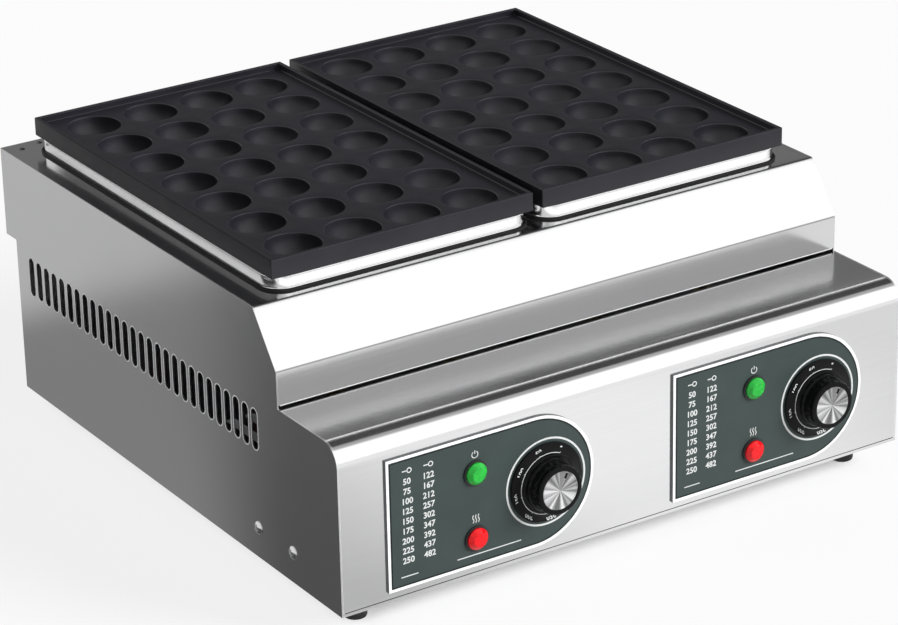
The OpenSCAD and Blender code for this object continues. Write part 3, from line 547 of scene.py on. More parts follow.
def round_edges(piece, radius, segments=2, angle=40, material=-1):
    edges = piece.modifiers.new("Rounded edges", "BEVEL")
    edges.width = radius
    edges.material = material
    edges.segments = segments
    edges.limit_method = "ANGLE"
    edges.angle_limit = math.radians(angle)
    edges.harden_normals = True
    edges.miter_outer = "MITER_ARC"


def copied(node):
    """A CAD node's mesh with its loose triangles joined into whole faces."""
    bm = bmesh.new()
    bm.from_mesh(frame["nodes"][node].data)
    weld(bm, 2 * MERGE)
    bmesh.ops.dissolve_limit(
        bm, angle_limit=math.radians(0.3), use_dissolve_boundaries=False, verts=bm.verts, edges=bm.edges
    )
    return bm


def softened(node, kind, radius, segments=2, cut=None):
    """A copy of a CAD node with its sharp edges rounded, in place of the node; cut is their own finish."""
    piece = add_piece(node + "_shaped", copied(node), [kind, cut] if cut else [kind], [node])
    round_edges(piece, radius, segments, material=1 if cut else -1)
    return piece


def spun(profile, steps, angle=math.tau):
    """The outline in X and Z, spun about Z."""
    bm = bmesh.new()
    verts = [bm.verts.new((x, 0, z)) for x, z in profile]
    edges = [bm.edges.new(pair) for pair in zip(verts, verts[1:])]
    bmesh.ops.spin(
        bm, geom=verts + edges, cent=(0, 0, 0), axis=(0, 0, 1), angle=angle, steps=steps, use_merge=angle == math.tau
    )
    weld(bm)
    face_out(bm)
    return bm


def rectangle_ring(w, d, x, z):
    """Corners of a small section for a spun ring, w wide and d high."""
    return [(x, z), (x + w, z), (x + w, z + d), (x, z + d), (x, z)]


def block(bm, low, high):
    """A box between two corners."""
    low, high = Vector(low), Vector(high)
    made = bmesh.ops.create_cube(bm, size=1)["verts"]
    bmesh.ops.scale(bm, vec=high - low, verts=made)
    move(bm, (low + high) / 2, made)


def rod(bm, radius, start, end):
    """A round bar from start to end."""
    start, end = Vector(start), Vector(end)
    run = end - start
    made = bmesh.ops.create_cone(
        bm, cap_ends=True, segments=32, radius1=radius, radius2=radius, depth=run.length
    )["verts"]
    lean = run.to_track_quat("Z", "Y").to_matrix().to_4x4()
    bmesh.ops.transform(bm, matrix=Matrix.Translation((start + end) / 2) @ lean, verts=made)


def joined(target, source, matrix=None, material=None):
    """Adds source's geometry to target and frees it."""
    if matrix is not None:
        place(source, matrix)
    if material is not None:
        for face in source.faces:
            face.material_index = material
    mesh = bpy.data.meshes.new("part")
    source.to_mesh(mesh)
    source.free()
    target.from_mesh(mesh)
    bpy.data.meshes.remove(mesh)


def on_console(x, z, proud=0.0):
    """Places local Z out of the console's front at x and z, proud of it."""
    return Matrix.Translation((x, FRONT_Y - proud, z)) @ Matrix.Rotation(math.pi / 2, 4, "X")


def lettering(text, size):
    """Raised numbers in the XY plane, centred on the origin."""
    weight = 0.022  # How much bolder than the font, as a share of the size
    curve = bpy.data.curves.new("number", "FONT")
    curve.body = text
    curve.size = size
    curve.align_x = curve.align_y = "CENTER"
    curve.extrude = PRINT_DEPTH / 2
    curve.offset = size * weight
    curve.resolution_u = 3
    holder = bpy.data.objects.new("number", curve)
    bpy.context.scene.collection.objects.link(holder)
    bpy.context.view_layer.update()
    mesh = bpy.data.meshes.new_from_object(holder.evaluated_get(bpy.context.evaluated_depsgraph_get()))
    bm = bmesh.new()
    bm.from_mesh(mesh)
    weld(bm)
    move(bm, (0, 0, PRINT_DEPTH / 2))
    bpy.data.objects.remove(holder)
    bpy.data.curves.remove(curve)
    bpy.data.meshes.remove(mesh)
    return bm


class PieceOperator:
    bl_options = {"REGISTER", "UNDO"}


# ---- Casing ----


def carried_round(bm, half_x, half_y, corner, steps=12):
    """Carries bm's outline, drawn at X = half_x and Y = 0, once around a rounded rectangle."""
    ends = bm.verts[:] + bm.edges[:]
    for quarter in range(4):
        along = Matrix.Rotation(math.pi / 2 * quarter, 3, "Z")
        wide, deep = (half_x, half_y) if quarter % 2 == 0 else (half_y, half_x)
        run = (deep - corner) * (2 if quarter else 1)
        ends = drawn_on(bm, ends, along @ Vector((0, run, 0)))
        centre = along @ Vector((wide - corner, deep - corner, 0))
        ends = bmesh.ops.spin(
            bm, geom=ends, cent=centre, axis=(0, 0, 1), angle=math.pi / 2, steps=steps
        )["geom_last"]
    drawn_on(bm, ends, Vector((0, half_y - corner, 0)))
    weld(bm)
    face_out(bm)


def drawn_on(bm, ends, way):
    """Extrudes an outline along way and returns its new end."""
    edges = [e for e in ends if isinstance(e, bmesh.types.BMEdge)]
    made = bmesh.ops.extrude_edge_only(bm, edges=edges)["geom"]
    last = [g for g in made if not isinstance(g, bmesh.types.BMFace)]
    verts = points(last)
    move(bm, way, verts)
    return verts + [e for e in bm.edges if e.verts[0] in set(verts) and e.verts[1] in set(verts)]


def collar_seam(side):
    """A black bead round the foot of a collar where it meets the deck: painted shade standing in for the dark line
    there.
    """
    low, high, centre = extent(f"baking_plate_{side}")
    deck_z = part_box("side_panel_left")[1].z
    inset, corner, radius, lift = 0.0005, 0.016, 0.0012, 0.0008
    half_x = (high.x - low.x) / 2 - inset + radius
    half_y = (high.y - low.y) / 2 - inset + radius
    bm = bmesh.new()
    bmesh.ops.create_circle(bm, cap_ends=False, radius=radius, segments=16)
    turn(bm, math.pi / 2, "X")
    move(bm, (half_x, 0, lift))
    carried_round(bm, half_x, half_y, corner + radius)
    move(bm, (centre.x, centre.y, deck_z))
    add_piece(f"collar_seam_{side}", bm, ["seam"], [], body=NODE_BODY["top_deck"])


def slot_rims(side, count=28, width=0.008, tall=0.0305, pitch=0.0122, rim=0.0008):
    """The ground rim round each ventilation slot; its pale colour is a painted highlight along the slot's edge."""
    low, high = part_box(f"side_panel_{side}")
    outer = high.x if side == "right" else low.x
    row_y, row_z, corners, proud = 0.044, 0.11625, 28, 0.00006
    bm = bmesh.new()
    for k in range(count):
        ring = bmesh.new()
        around = bmesh.ops.create_circle(ring, cap_ends=True, radius=width / 2 + rim, segments=corners)["verts"]
        turn(ring, math.pi / corners, "Z", around)
        for v in around:
            v.co.y += math.copysign((tall - width) / 2, v.co.y)
        face = ring.faces[:]
        bmesh.ops.inset_region(ring, faces=face, thickness=rim, use_boundary=True, use_even_offset=True)
        bmesh.ops.delete(ring, geom=face, context="FACES")
        slab(ring, proud)
        joined(bm, ring, Matrix.Translation(((k - (count - 1) / 2) * pitch, 0, 0)))
    upright = Matrix(((0, 0, 1, outer), (1, 0, 0, row_y), (0, 1, 0, row_z), (0, 0, 0, 1)))
    if side == "left":
        upright = upright @ Matrix.Rotation(math.pi, 4, "Y")
    place(bm, upright)
    add_piece(f"slot_rims_{side}", bm, ["slot rim"], [], body=NODE_BODY[f"side_panel_{side}"])


def fascia_hem(roll=0.0005, setback=0.075, gap=0.0024, short=0.0012):
    """The bright rolled edge at the foot of the fascia, over the shadow gap."""
    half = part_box("top_deck")[1].x - short
    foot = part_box("console_cover")[1].z + gap
    bm = bmesh.new()
    bmesh.ops.create_cone(bm, cap_ends=True, segments=16, radius1=roll, radius2=roll, depth=2 * half)
    turn(bm, math.pi / 2, "Y")
    move(bm, (0, FRONT_Y + setback + roll / 2, foot - roll / 2))
    add_piece("fascia_hem", bm, ["cut edge"], [], body=NODE_BODY["top_deck"])


def front_joint(short=0.0012, proud=0.00012, deep=0.0006, half=0.0003):
    """A black strip where the console's front meets the lip of the base pan: painted shade for the shadow in that
    joint.
    """
    low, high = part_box("console_cover")
    end = high.x - short
    bm = bmesh.new()
    block(bm, (-end, low.y - proud, low.z - half), (end, low.y + deep, low.z + half))
    chamfer(bm, 0.0001, 1)
    add_piece("front_joint", bm, ["seam"], [], body=NODE_BODY["console_cover"])


class OBJECT_OT_takoyaki_casing(PieceOperator, bpy.types.Operator):
    """Shapes the stainless sheets and the base pan"""

    bl_idname = "object.takoyaki_casing"
    bl_label = "Casing"

    def execute(self, context):
        casing = context.scene.takoyaki_casing
        edge = casing.edge
        for side in SIDES:
            softened(f"side_panel_{side}", "steel along Y", casing.side_edge, 3, "cut edge")
            slot_rims(side)
            collar_seam(side)
        for node in ("console_cover", "rear_panel"):
            softened(node, "steel along X", edge, 2, "cut edge")
        softened("top_deck", "steel along X", edge)
        softened("base_pan", "steel along X", edge)
        fascia_hem()
        front_joint()
        return {"FINISHED"}


# ---- Baking plates ----


def cup_cell(plate, radius, lip, floor, steps=48, arc=5, rings=13):
    """One square of a plate's face with a round hollow: its floor runs into a hemisphere over a lip."""
    if lip:
        # The lip's arc touches the floor outside and the sphere inside
        centre = math.sqrt((radius + lip) ** 2 - lip**2)
        lean = math.atan2(centre, lip)
        profile = [
            (centre - lip * math.sin(lean * k / arc), floor - lip + lip * math.cos(lean * k / arc))
            for k in range(arc + 1)
        ]
    else:
        profile = [(math.sqrt(radius**2 - floor**2), floor)]
    first = math.atan2(profile[-1][0], -profile[-1][1])
    profile += [
        (radius * math.sin(first * (1 - k / rings)), -radius * math.cos(first * (1 - k / rings)))
        for k in range(1, rings + 1)
    ]
    profile[-1] = (0.0, -radius)
    bm = spun(profile, steps)
    drawn = bmesh.ops.extrude_edge_only(bm, edges=[e for e in bm.edges if e.is_boundary])["geom"]
    for v in points(drawn):
        v.co.xy *= plate.cup_pitch / 2 / max(abs(v.co.x), abs(v.co.y))
    return bm


def cup_field(plate, radius, lip, floor):
    """All the cells of a plate's face, joined edge to edge; Z = 0 is the spheres' centres."""
    cell = bpy.data.meshes.new("cell")
    made = cup_cell(plate, radius, lip, floor)
    made.to_mesh(cell)
    made.free()
    bm = bmesh.new()
    for i in range(plate.columns):
        for j in range(plate.rows):
            before = len(bm.verts)
            bm.from_mesh(cell)
            bm.verts.ensure_lookup_table()
            shift = ((i - (plate.columns - 1) / 2) * plate.cup_pitch, (j - (plate.rows - 1) / 2) * plate.cup_pitch, 0)
            move(bm, shift, bm.verts[before:])
    bpy.data.meshes.remove(cell)
    weld(bm)
    return bm


def outward(bm, half_x, half_y, z):
    """Draws the open outline out to a rectangle of that size at height z."""
    edges = [e for e in bm.edges if e.is_boundary]
    verts = points(bmesh.ops.extrude_edge_only(bm, edges=edges)["geom"])
    now_x = max(v.co.x for v in verts)
    now_y = max(v.co.y for v in verts)
    for v in verts:
        v.co = (v.co.x * half_x / now_x, v.co.y * half_y / now_y, z)


def baking_plate(side, plate):
    """A cast plate: cups, floor, rim and skirt above, and the cups' bulges and bosses below."""
    node = f"baking_plate_{side}"
    low, high, centre = extent(node)
    half_x, half_y = (high.x - low.x) / 2, (high.y - low.y) / 2
    wall, rim, skirt, floor = 0.003, 0.005, 0.014, 0.004
    boss_radius, thin_boss_radius, boss_reach, boss_root = 0.0065, 0.005, 0.009, 0.001
    floor_z = high.z - rim
    radius = plate.cup_diameter / 2
    bm = cup_field(plate, radius, plate.lip, 0.0)
    outward(bm, half_x - wall, half_y - wall, 0.0)
    outward(bm, half_x - wall, half_y - wall, rim)
    outward(bm, half_x, half_y, rim)
    outward(bm, half_x, half_y, rim - skirt)
    outward(bm, half_x - wall, half_y - wall, rim - skirt)
    outward(bm, half_x - wall, half_y - wall, -floor)
    under = cup_field(plate, radius + wall, 0.0, -floor)
    outward(under, half_x - wall, half_y - wall, -floor)
    joined(bm, under)
    weld(bm, 2 * MERGE)
    face_out(bm)
    for y, boss in ((1.5 * plate.cup_pitch, boss_radius), (0.5 * plate.cup_pitch, thin_boss_radius)):
        for s in (-1, 1):
            rod(bm, boss, (0, s * y, -floor + boss_root), (0, s * y, -floor - boss_reach))
    move(bm, (centre.x, centre.y, floor_z))
    piece = add_piece(node + "_casting", bm, ["coating"], [node], smooth=42)
    round_edges(piece, plate.edge, 3, 50)


class OBJECT_OT_takoyaki_plates(PieceOperator, bpy.types.Operator):
    """Models the two baking plates"""

    bl_idname = "object.takoyaki_plates"
    bl_label = "Baking plates"

    def execute(self, context):
        for side in SIDES:
            baking_plate(side, context.scene.takoyaki_plate)
        return {"FINISHED"}


# ---- Controls ----


def knob_body(side):
    """The knob's dial skirt, stepped cone and fluted grip."""
    low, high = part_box(f"knob_{side}")
    radius = (high.x - low.x) / 2
    reach = FRONT_Y - low.y
    back = FRONT_Y - high.y
    grip, cap, crown = 0.0185, 0.01435, back + 0.0032
    profile = [
        (0.0, back + 0.002), (radius - 0.004, back + 0.002), (radius - 0.0025, back), (radius - 0.0003, back),
        (radius, back + 0.0003), (radius, back + 0.0011), (radius - 0.0004, back + 0.0015),
        (grip + 0.0036, crown), (grip + 0.0033, crown + 0.0002), (grip + 0.003, crown + 0.0008),
        (grip + 0.0018, crown + 0.0011), (grip + 0.0014, crown + 0.0016), (grip + 0.0011, crown + 0.0036),
        (grip + 0.0004, crown + 0.0042), (grip, crown + 0.0052), (grip - 0.0001, reach - 0.004),
        (grip - 0.0002, reach - 0.0016), (grip - 0.0005, reach - 0.0007), (grip - 0.0012, reach - 0.00015),
        (grip - 0.0018, reach), (cap + 0.0005, reach), (cap + 0.0002, reach - 0.0003), (cap + 0.0002, reach - 0.001),
        (0.0, reach - 0.001),
    ]
    bm = spun(profile, 160)
    # Shallow finger flutes round the grip
    flutes, depth = 20, 0.0003
    for v in bm.verts:
        r = math.hypot(v.co.x, v.co.y)
        if grip - 0.0006 < r < grip + 0.0006 and v.co.z > crown + 0.004:
            wave = math.cos(flutes * math.atan2(v.co.y, v.co.x))
            fade = min(1.0, (v.co.z - crown - 0.004) / 0.001)
            scale = 1 - depth * max(0.0, wave) ** 1.5 * fade / r
            v.co.x *= scale
            v.co.y *= scale
    return bm, radius, crown


def knob(side):
    """The knob with its printed dial."""
    node = f"knob_{side}"
    centre = extent(node)[2]
    bm, radius, crown = knob_body(side)
    joined(bm, dial_print(radius, crown), material=1)
    place(bm, on_console(centre.x, centre.z))
    add_piece(node + "_moulding", bm, ["knob black", "print"], [node], smooth=30)


def dial_print(radius, crown):
    """Numbers, ticks and the off dot on the dial skirt, which slopes up to the grip."""
    bm = bmesh.new()
    # The skirt rises by slope between its rounded edge and the grip's foot
    slope, edge, grip_foot = 0.0017, 0.0004, 0.0221
    rise = math.atan2(slope, radius - edge - grip_foot)
    high = crown - slope
    off, step, sweep = math.radians(65), 42, 215
    number_size, number_in, tick_in, dot_in = 0.0052, 0.0036, 0.0068, 0.003

    def at(angle, r, text):
        lift = high + (radius - edge - r) * math.tan(rise)
        spot = Matrix.Rotation(angle, 4, "Z") @ Matrix.Translation((0, r, lift)) @ Matrix.Rotation(rise, 4, "X")
        joined(bm, text, spot)

    for k, number in enumerate(("0", "50", "100", "150", "200", "250")):
        angle = off + math.radians(step * k) - math.pi / 2
        if k:
            at(angle, radius - number_in, lettering(number, number_size))
        tick = bmesh.new()
        block(tick, (-0.0003, -0.0008, 0), (0.0003, 0.0008, PRINT_DEPTH))
        at(angle, radius - tick_in, tick)
    dot = spun([(0, 0.0001), (0.0009, 0.0001), (0.001, 0)], 20)
    at(off - math.pi / 2, radius - dot_in, dot)
    arc = spun(rectangle_ring(0.0005, 0.00009, 0.0223, crown - 0.00008), 100, math.radians(sweep))
    joined(bm, arc, Matrix.Rotation(off, 4, "Z"))
    return bm


def knob_cap(side):
    """The spun metal disc with a raised rim and the dark pointer let into it."""
    node = f"knob_cap_{side}"
    low, high, centre = extent(node)
    radius = (high.x - low.x) / 2
    front, back = FRONT_Y - low.y, FRONT_Y - high.y
    profile = [
        (0.0, back), (radius, back), (radius, front - 0.00035), (radius - 0.0002, front - 0.0001),
        (radius - 0.0006, front), (radius - 0.0011, front), (radius - 0.0014, front - 0.00022),
        (0.0012, front - 0.00026), (0.0, front - 0.00034),
    ]
    bm = spun(profile, 128)
    pointer = bmesh.new()
    block(pointer, (-0.0009, radius - 0.0052, front - 0.0005), (0.0009, radius - 0.0002, front - 0.00004))
    chamfer(pointer, 0.0002, 2)
    joined(bm, pointer, Matrix.Rotation(math.radians(-25), 4, "Z"), 1)
    place(bm, on_console(centre.x, centre.z))
    add_piece(node + "_disc", bm, ["spun aluminium", "knob black"], [node], smooth=30)


class OBJECT_OT_takoyaki_knobs(PieceOperator, bpy.types.Operator):
    """Models the two thermostat knobs with their caps"""

    bl_idname = "object.takoyaki_knobs"
    bl_label = "Knobs"

    def execute(self, context):
        for side in SIDES:
            knob(side)
            knob_cap(side)
            dress(f"thermostat_shaft_{side}", "brass")
        return {"FINISHED"}


def label_outline(width, height, inset):
    """A flat face in the XY plane: square on the left, half round on the right."""
    radius = height / 2 - inset
    bm = bmesh.new()
    start = bm.verts.new((width - height / 2, inset, 0))
    bmesh.ops.spin(
        bm, geom=[start], cent=(width - height / 2, height / 2, 0), axis=(0, 0, 1), angle=math.pi, steps=64
    )
    ends = sorted((v for v in bm.verts if len(v.link_edges) == 1), key=lambda v: v.co.y)
    lower, upper = bm.verts.new((inset, inset, 0)), bm.verts.new((inset, inset + 2 * radius, 0))
    bm.edges.new((ends[0], lower))
    bm.edges.new((lower, upper))
    bm.edges.new((upper, ends[-1]))
    bmesh.ops.contextual_create(bm, geom=bm.edges[:])
    return bm


def slab(bm, depth):
    """Gives a flat face in the XY plane a thickness along Z."""
    move(bm, (0, 0, depth), points(bmesh.ops.extrude_face_region(bm, geom=bm.faces[:])["geom"]))
    face_out(bm)
    return bm


def wave_mark():
    """Three short rising waves, a plain sign for heat."""
    spacing, sway, half, foot, parts, rise, tall = 0.0022, 0.0005, 0.0003, -0.003, 6, 0.001, 0.00115
    bm = bmesh.new()
    for k in (-1, 0, 1):
        for part in range(parts):
            y = foot + part * rise
            x = spacing * k + sway * math.sin(part * math.pi / 2.5)
            block(bm, (x - half, y, 0), (x + half, y + tall, PRINT_DEPTH))
    return bm


def power_mark():
    """A broken ring with a bar, a plain sign for power."""
    bm = spun(rectangle_ring(0.0006, PRINT_DEPTH, 0.0021, 0), 40, math.radians(290))
    turn(bm, math.radians(125), "Z")
    block(bm, (-0.0003, 0.0006, 0), (0.0003, 0.0031, PRINT_DEPTH))
    return bm


def label_print(side, left, low, proud):
    """Printed scale, ring, rules and signs on a label whose lower left corner is left and low."""
    columns, top_row, row_pitch, number_size = (0.0162, 0.0332), 0.0792, 0.0073, 0.0062
    sign_z, rule_z, rule_height = 0.0872, 0.0088, 0.0007
    ring_radius, ring_width, above_power, above_heat = 0.0314, 0.0014, 0.0135, 0.0145
    dial, power, heat = (extent(f"{node}_{side}")[2] for node in ("knob", "power_lamp", "heat_lamp"))
    bm = bmesh.new()

    def put(source, x, z):
        joined(bm, source, on_console(x, z, proud))

    for row in range(9):
        for x, number in zip(columns, (50 + 25 * row, 122 + 45 * row)):
            put(lettering(str(number), number_size), left + x, low + top_row - row * row_pitch)
    for x in columns:
        put(spun(rectangle_ring(0.0007, PRINT_DEPTH, 0.0013, 0), 24), left + x + 0.002, low + sign_z)
        bar = bmesh.new()
        block(bar, (-0.0036, -0.0004, 0), (-0.0002, 0.0004, PRINT_DEPTH))
        put(bar, left + x, low + sign_z)
    for start, end in ((0.010, 0.0235), (0.055, 0.107)):
        rule = bmesh.new()
        block(rule, (0, 0, 0), (end - start, rule_height, PRINT_DEPTH))
        put(rule, left + start, low + rule_z)
    put(spun(rectangle_ring(ring_width, PRINT_DEPTH, ring_radius, 0), 128), dial.x, dial.z)
    put(power_mark(), power.x, power.z + above_power)
    put(wave_mark(), heat.x, heat.z + above_heat)
    return bm


def label(side):
    """The raised label plate with its border, and the printed film on it."""
    node = f"control_label_{side}"
    low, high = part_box(node)
    width, height = high.x - low.x, high.z - low.z
    proud = FRONT_Y - low.y
    plate = softened(node, "label border", 0.0003, 2)
    plate.data.materials.append(finish("label side"))
    # The side faces take the darker grey: painted shade along the plate's edges
    for face in plate.data.polygons:
        face.material_index = abs(face.normal.y) < 0.5
    border, line, layer = 0.0022, 0.0012, 0.00006
    print_lift = 1.4 * layer
    face = slab(label_outline(width, height, border), layer)
    joined(face, slab(label_outline(width, height, border + line), layer / 2), Matrix.Translation((0, 0, layer)), 1)
    place(face, on_console(low.x, low.z, proud))
    body = NODE_BODY[node]
    add_piece(f"label_film_{side}", face, ["label line", "label film"], [], body=body)
    printed = label_print(side, low.x, low.z, proud + print_lift)
    add_piece(f"label_print_{side}", printed, ["print"], [], body=body)


def lamp(side, which, kind):
    """A faceted lens: a round base, eight sloping facets and a flat face."""
    node = f"{which}_lamp_{side}"
    low, high, centre = extent(node)
    radius = (high.x - low.x) / 2
    front, back = FRONT_Y - low.y, FRONT_Y - high.y
    bm = spun(
        [
            (0, back), (radius - 0.0002, back), (radius, back + 0.0002), (radius, back + 0.0013),
            (radius - 0.0004, back + 0.0017),
        ],
        64,
    )
    mouth = [e for e in bm.edges if e.is_boundary]
    facets, face_share = 8, 0.66
    flat = bmesh.ops.create_circle(bm, cap_ends=True, radius=radius * face_share, segments=facets)["verts"]
    turn(bm, math.pi / facets, "Z", flat)
    move(bm, (0, 0, front), flat)
    top = [e for e in bm.edges if all(v in set(flat) for v in e.verts)]
    bmesh.ops.bridge_loops(bm, edges=mouth + top)
    face_out(bm)
    place(bm, on_console(centre.x, centre.z))
    piece = add_piece(node + "_lens", bm, [kind], [node], smooth=12)
    round_edges(piece, 0.0003, 2, 14)


class OBJECT_OT_takoyaki_labels(PieceOperator, bpy.types.Operator):
    """Models the two label plates with their print"""

    bl_idname = "object.takoyaki_labels"
    bl_label = "Labels"

    def execute(self, context):
        for side in SIDES:
            label(side)
        return {"FINISHED"}


class OBJECT_OT_takoyaki_lamps(PieceOperator, bpy.types.Operator):
    """Models the four pilot lamps"""

    bl_idname = "object.takoyaki_lamps"
    bl_label = "Pilot lamps"

    def execute(self, context):
        for side in SIDES:
            lamp(side, "power", "power lens")
            lamp(side, "heat", "heat lens")
        softened("lamp_holders", "black plastic", 0.0003)
        dress("lamp_nuts", "black plastic")
        return {"FINISHED"}


# ---- Inside, fasteners and feet ----


class OBJECT_OT_takoyaki_heating(PieceOperator, bpy.types.Operator):
    """Finishes the trays, rods and feelers under the plates"""

    bl_idname = "object.takoyaki_heating"
    bl_label = "Heating"

    def execute(self, context):
        for side in SIDES:
            softened(f"heat_tray_{side}", "zinc", 0.0003)
            for node in ("tray_straps", "element_clamps", "feeler_clip"):
                dress(f"{node}_{side}", "zinc")
            for node in ("plate_studs", "stud_nuts", "clamp_screws"):
                dress(f"{node}_{side}", "bright screw")
            dress(f"heating_element_{side}", "heated sheath")
            dress(f"element_bushes_{side}", "brass")
            dress(f"feeler_{side}", "copper")
        dress("feeler_clip_screws", "bright screw")
        return {"FINISHED"}


class OBJECT_OT_takoyaki_fasteners(PieceOperator, bpy.types.Operator):
    """Rounds the screws and rivets"""

    bl_idname = "object.takoyaki_fasteners"
    bl_label = "Fasteners"

    def execute(self, context):
        for node in ("side_screws", "rear_screws", "foot_screws"):
            softened(node, "bright screw", 0.00018)
        softened("deck_rivets", "dull rivet", 0.0001)
        return {"FINISHED"}


def foot(end, side):
    """A tapered rubber foot with a screw well."""
    node = f"foot_{end}_{side}"
    low, high, centre = extent(node)
    top, tall = (high.x - low.x) / 2, high.z - low.z
    profile = [
        (0.0022, tall), (top - 0.0004, tall), (top, tall - 0.0004), (top - 0.0007, 0.0016), (top - 0.0011, 0.0005),
        (top - 0.0019, 0.0), (0.005, 0.0), (0.0046, 0.0003), (0.0045, 0.0008), (0.0045, tall - 0.004),
        (0.0022, tall - 0.004), (0.0022, tall),
    ]
    bm = spun(profile, 64)
    move(bm, (centre.x, centre.y, low.z))
    add_piece(node + "_rubber", bm, ["rubber"], [node], smooth=35)


class OBJECT_OT_takoyaki_feet(PieceOperator, bpy.types.Operator):
    """Models the four rubber feet"""

    bl_idname = "object.takoyaki_feet"
    bl_label = "Feet"

    def execute(self, context):
        for end in ("front", "rear"):
            for side in SIDES:
                foot(end, side)
        return {"FINISHED"}


def gland():
    """The cord gland at the back: a hexagon, a domed ribbed cap and the bore."""
    node = "cord_gland"
    centre = extent("gland_nut")[2]
    thread_end, nose, bore, cap = 0.012, 0.013, 0.004, 0.0085
    ribs, rib_depth, flat_radius, flat_tall = 18, 0.03, 0.01, 0.005
    profile = [
        (bore, -thread_end), (0.0072, -thread_end), (0.0075, -thread_end + 0.0004), (0.0075, 0.0), (cap, 0.0),
        (cap, 0.0105), (0.0079, 0.0122), (0.0062, nose), (0.0046, nose), (bore, nose - 0.0006), (bore, -thread_end),
    ]
    bm = spun(profile, 72)
    for v in bm.verts:
        if math.hypot(v.co.x, v.co.y) > cap - 0.0001 and v.co.z > flat_tall:
            v.co.xy *= 1 - rib_depth * max(0.0, math.cos(ribs * math.atan2(v.co.y, v.co.x)))
    flats = bmesh.new()
    radius = flat_radius / math.cos(math.pi / 6)
    bmesh.ops.create_cone(flats, cap_ends=True, segments=6, radius1=radius, radius2=radius, depth=flat_tall)
    move(flats, (0, 0, flat_tall / 2))
    chamfer(flats, 0.0004, 2)
    joined(bm, flats)
    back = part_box(node)[1].y - nose
    place(bm, Matrix.Translation((centre.x, back, centre.z)) @ Matrix.Rotation(-math.pi / 2, 4, "X"))
    add_piece(node + "_moulding", bm, ["black plastic"], [node], smooth=30)


class OBJECT_OT_takoyaki_electrics(PieceOperator, bpy.types.Operator):
    """Models the gland and finishes the thermostats, block and leads"""

    bl_idname = "object.takoyaki_electrics"
    bl_label = "Electrics"

    def execute(self, context):
        gland()
        for side in SIDES:
            dress(f"thermostat_{side}", "ivory plastic")
            dress(f"wiring_{side}", "wire sleeve")
        dress("terminal_block", "ivory plastic")
        dress("gland_nut", "black plastic")
        dress("thermostat_screws", "bright screw")
        return {"FINISHED"}


# ---- Stage ----


def flat_piece(name, low, high, material):
    """A flat rectangle of the stage between two corners that share an X, a Y or a Z."""
    bm = bmesh.new()
    bmesh.ops.create_grid(bm, x_segments=2, y_segments=2, size=0.5)
    low, high = Vector(low), Vector(high)
    run = high - low
    if run.z:
        turn(bm, math.pi / 2, "X" if run.x else "Y")
    bmesh.ops.scale(bm, vec=[length or 1 for length in run], verts=bm.verts)
    move(bm, (low + high) / 2)
    mesh = bpy.data.meshes.new(name)
    bm.to_mesh(mesh)
    bm.free()
    mesh.materials.append(material)
    piece = bpy.data.objects.new(name, mesh)
    bpy.context.scene.collection.objects.link(piece)
    return piece


def studio_floor(settings):
    """White paper that keeps a light shadow, and glows only for the camera and for what mirrors it."""
    paper = Finish("studio paper", settings.floor[:], 0.9, specular=0.0)
    # The paper doesn't glow under the casing
    size, middle_y, reach = cad_box[1] - cad_box[0], (cad_box[0].y + cad_box[1].y) / 2, 30
    x, y, _ = paper.axes(paper.stretched((1, 1, 1), (0, middle_y, 0)))
    beyond_x = paper.add(paper.math("ABSOLUTE", x), -size.x / 2)
    beyond_y = paper.add(paper.math("ABSOLUTE", y), -size.y / 2)
    clear = paper.span(paper.math("MAXIMUM", beyond_x, beyond_y), -0.06, -0.01)
    path = paper.node("ShaderNodeLightPath", {}).outputs
    seen = paper.math("MAXIMUM", path["Is Camera Ray"], paper.mirrored(path))
    share = paper.times(paper.times(seen, settings.glow), clear)
    both = paper.node("ShaderNodeMixShader", {0: share, 1: paper.shader.outputs[0], 2: paper.glow(1.0)})
    paper.surface(both.outputs[0])
    flat_piece("studio_floor", (-reach, -reach, 0), (reach, reach, 0), paper.material)


def left_level(card):
    """Darker towards the front, and lighter again at the back."""
    x, y, _ = card.axes(card.place)
    slant = card.add(y, card.times(x, 1.8))
    return card.add(card.span(slant, -0.6, -0.44, 0.09, 0.235), card.span(y, 0.35, 0.44, 0.0, 0.27))


def front_level(card):
    """Lighter towards the middle, and darker again at the right and close to the casing."""
    x, y, _ = card.axes(card.place)
    across = card.add(card.span(x, -0.2, 0.05, 0.6, 1.02), card.span(x, 0.15, 0.4, 0.0, -0.2))
    return card.add(across, card.span(y, -0.36, -0.27, 0.0, -0.05))


# Name, lowest and highest corner, and level. Three lie on the floor, and the strips stand a few millimetres from
# the casing. They were placed for the photographed view.
CARDS = (
    ("left_card", (-0.8, -0.25, 0.0004), (-0.24, 1.1, 0.0004), left_level),
    ("right_card", (0.24, -0.25, 0.0004), (0.8, 1.1, 0.0004), 0.2),
    ("deck_strip", (-0.2395, -0.14, 0.2228), (-0.2395, 0.26, 0.3), 0.11),
    ("fascia_strip", (-0.3, -0.2245, 0.147), (0.36, -0.2245, 0.222), 0.46),
    ("slope_strip", (-0.3, -0.146, 0.235), (0.36, -0.136, 0.235), 0.46),
    ("collar_strip", (-0.24, -0.1505, 0.193), (0.3, -0.1505, 0.206), 1.3),
    ("skirt_strip", (-0.2395, -0.14, 0.2082), (-0.2395, 0.26, 0.2136), 0.02),
    ("front_card", (-0.6, -0.62, 0.0004), (0.8, -0.255, 0.0004), front_level),
)


def studio_cards():
    """Flat cards that only mirrors show."""
    for name, low, high, level in CARDS:
        card = Finish(name, (0.2, 0.2, 0.2), 0.9)
        piece = flat_piece(name, low, high, card.material)
        piece.visible_camera = piece.visible_diffuse = piece.visible_shadow = piece.visible_transmission = False
        card.surface(card.glow(level(card) if callable(level) else level))


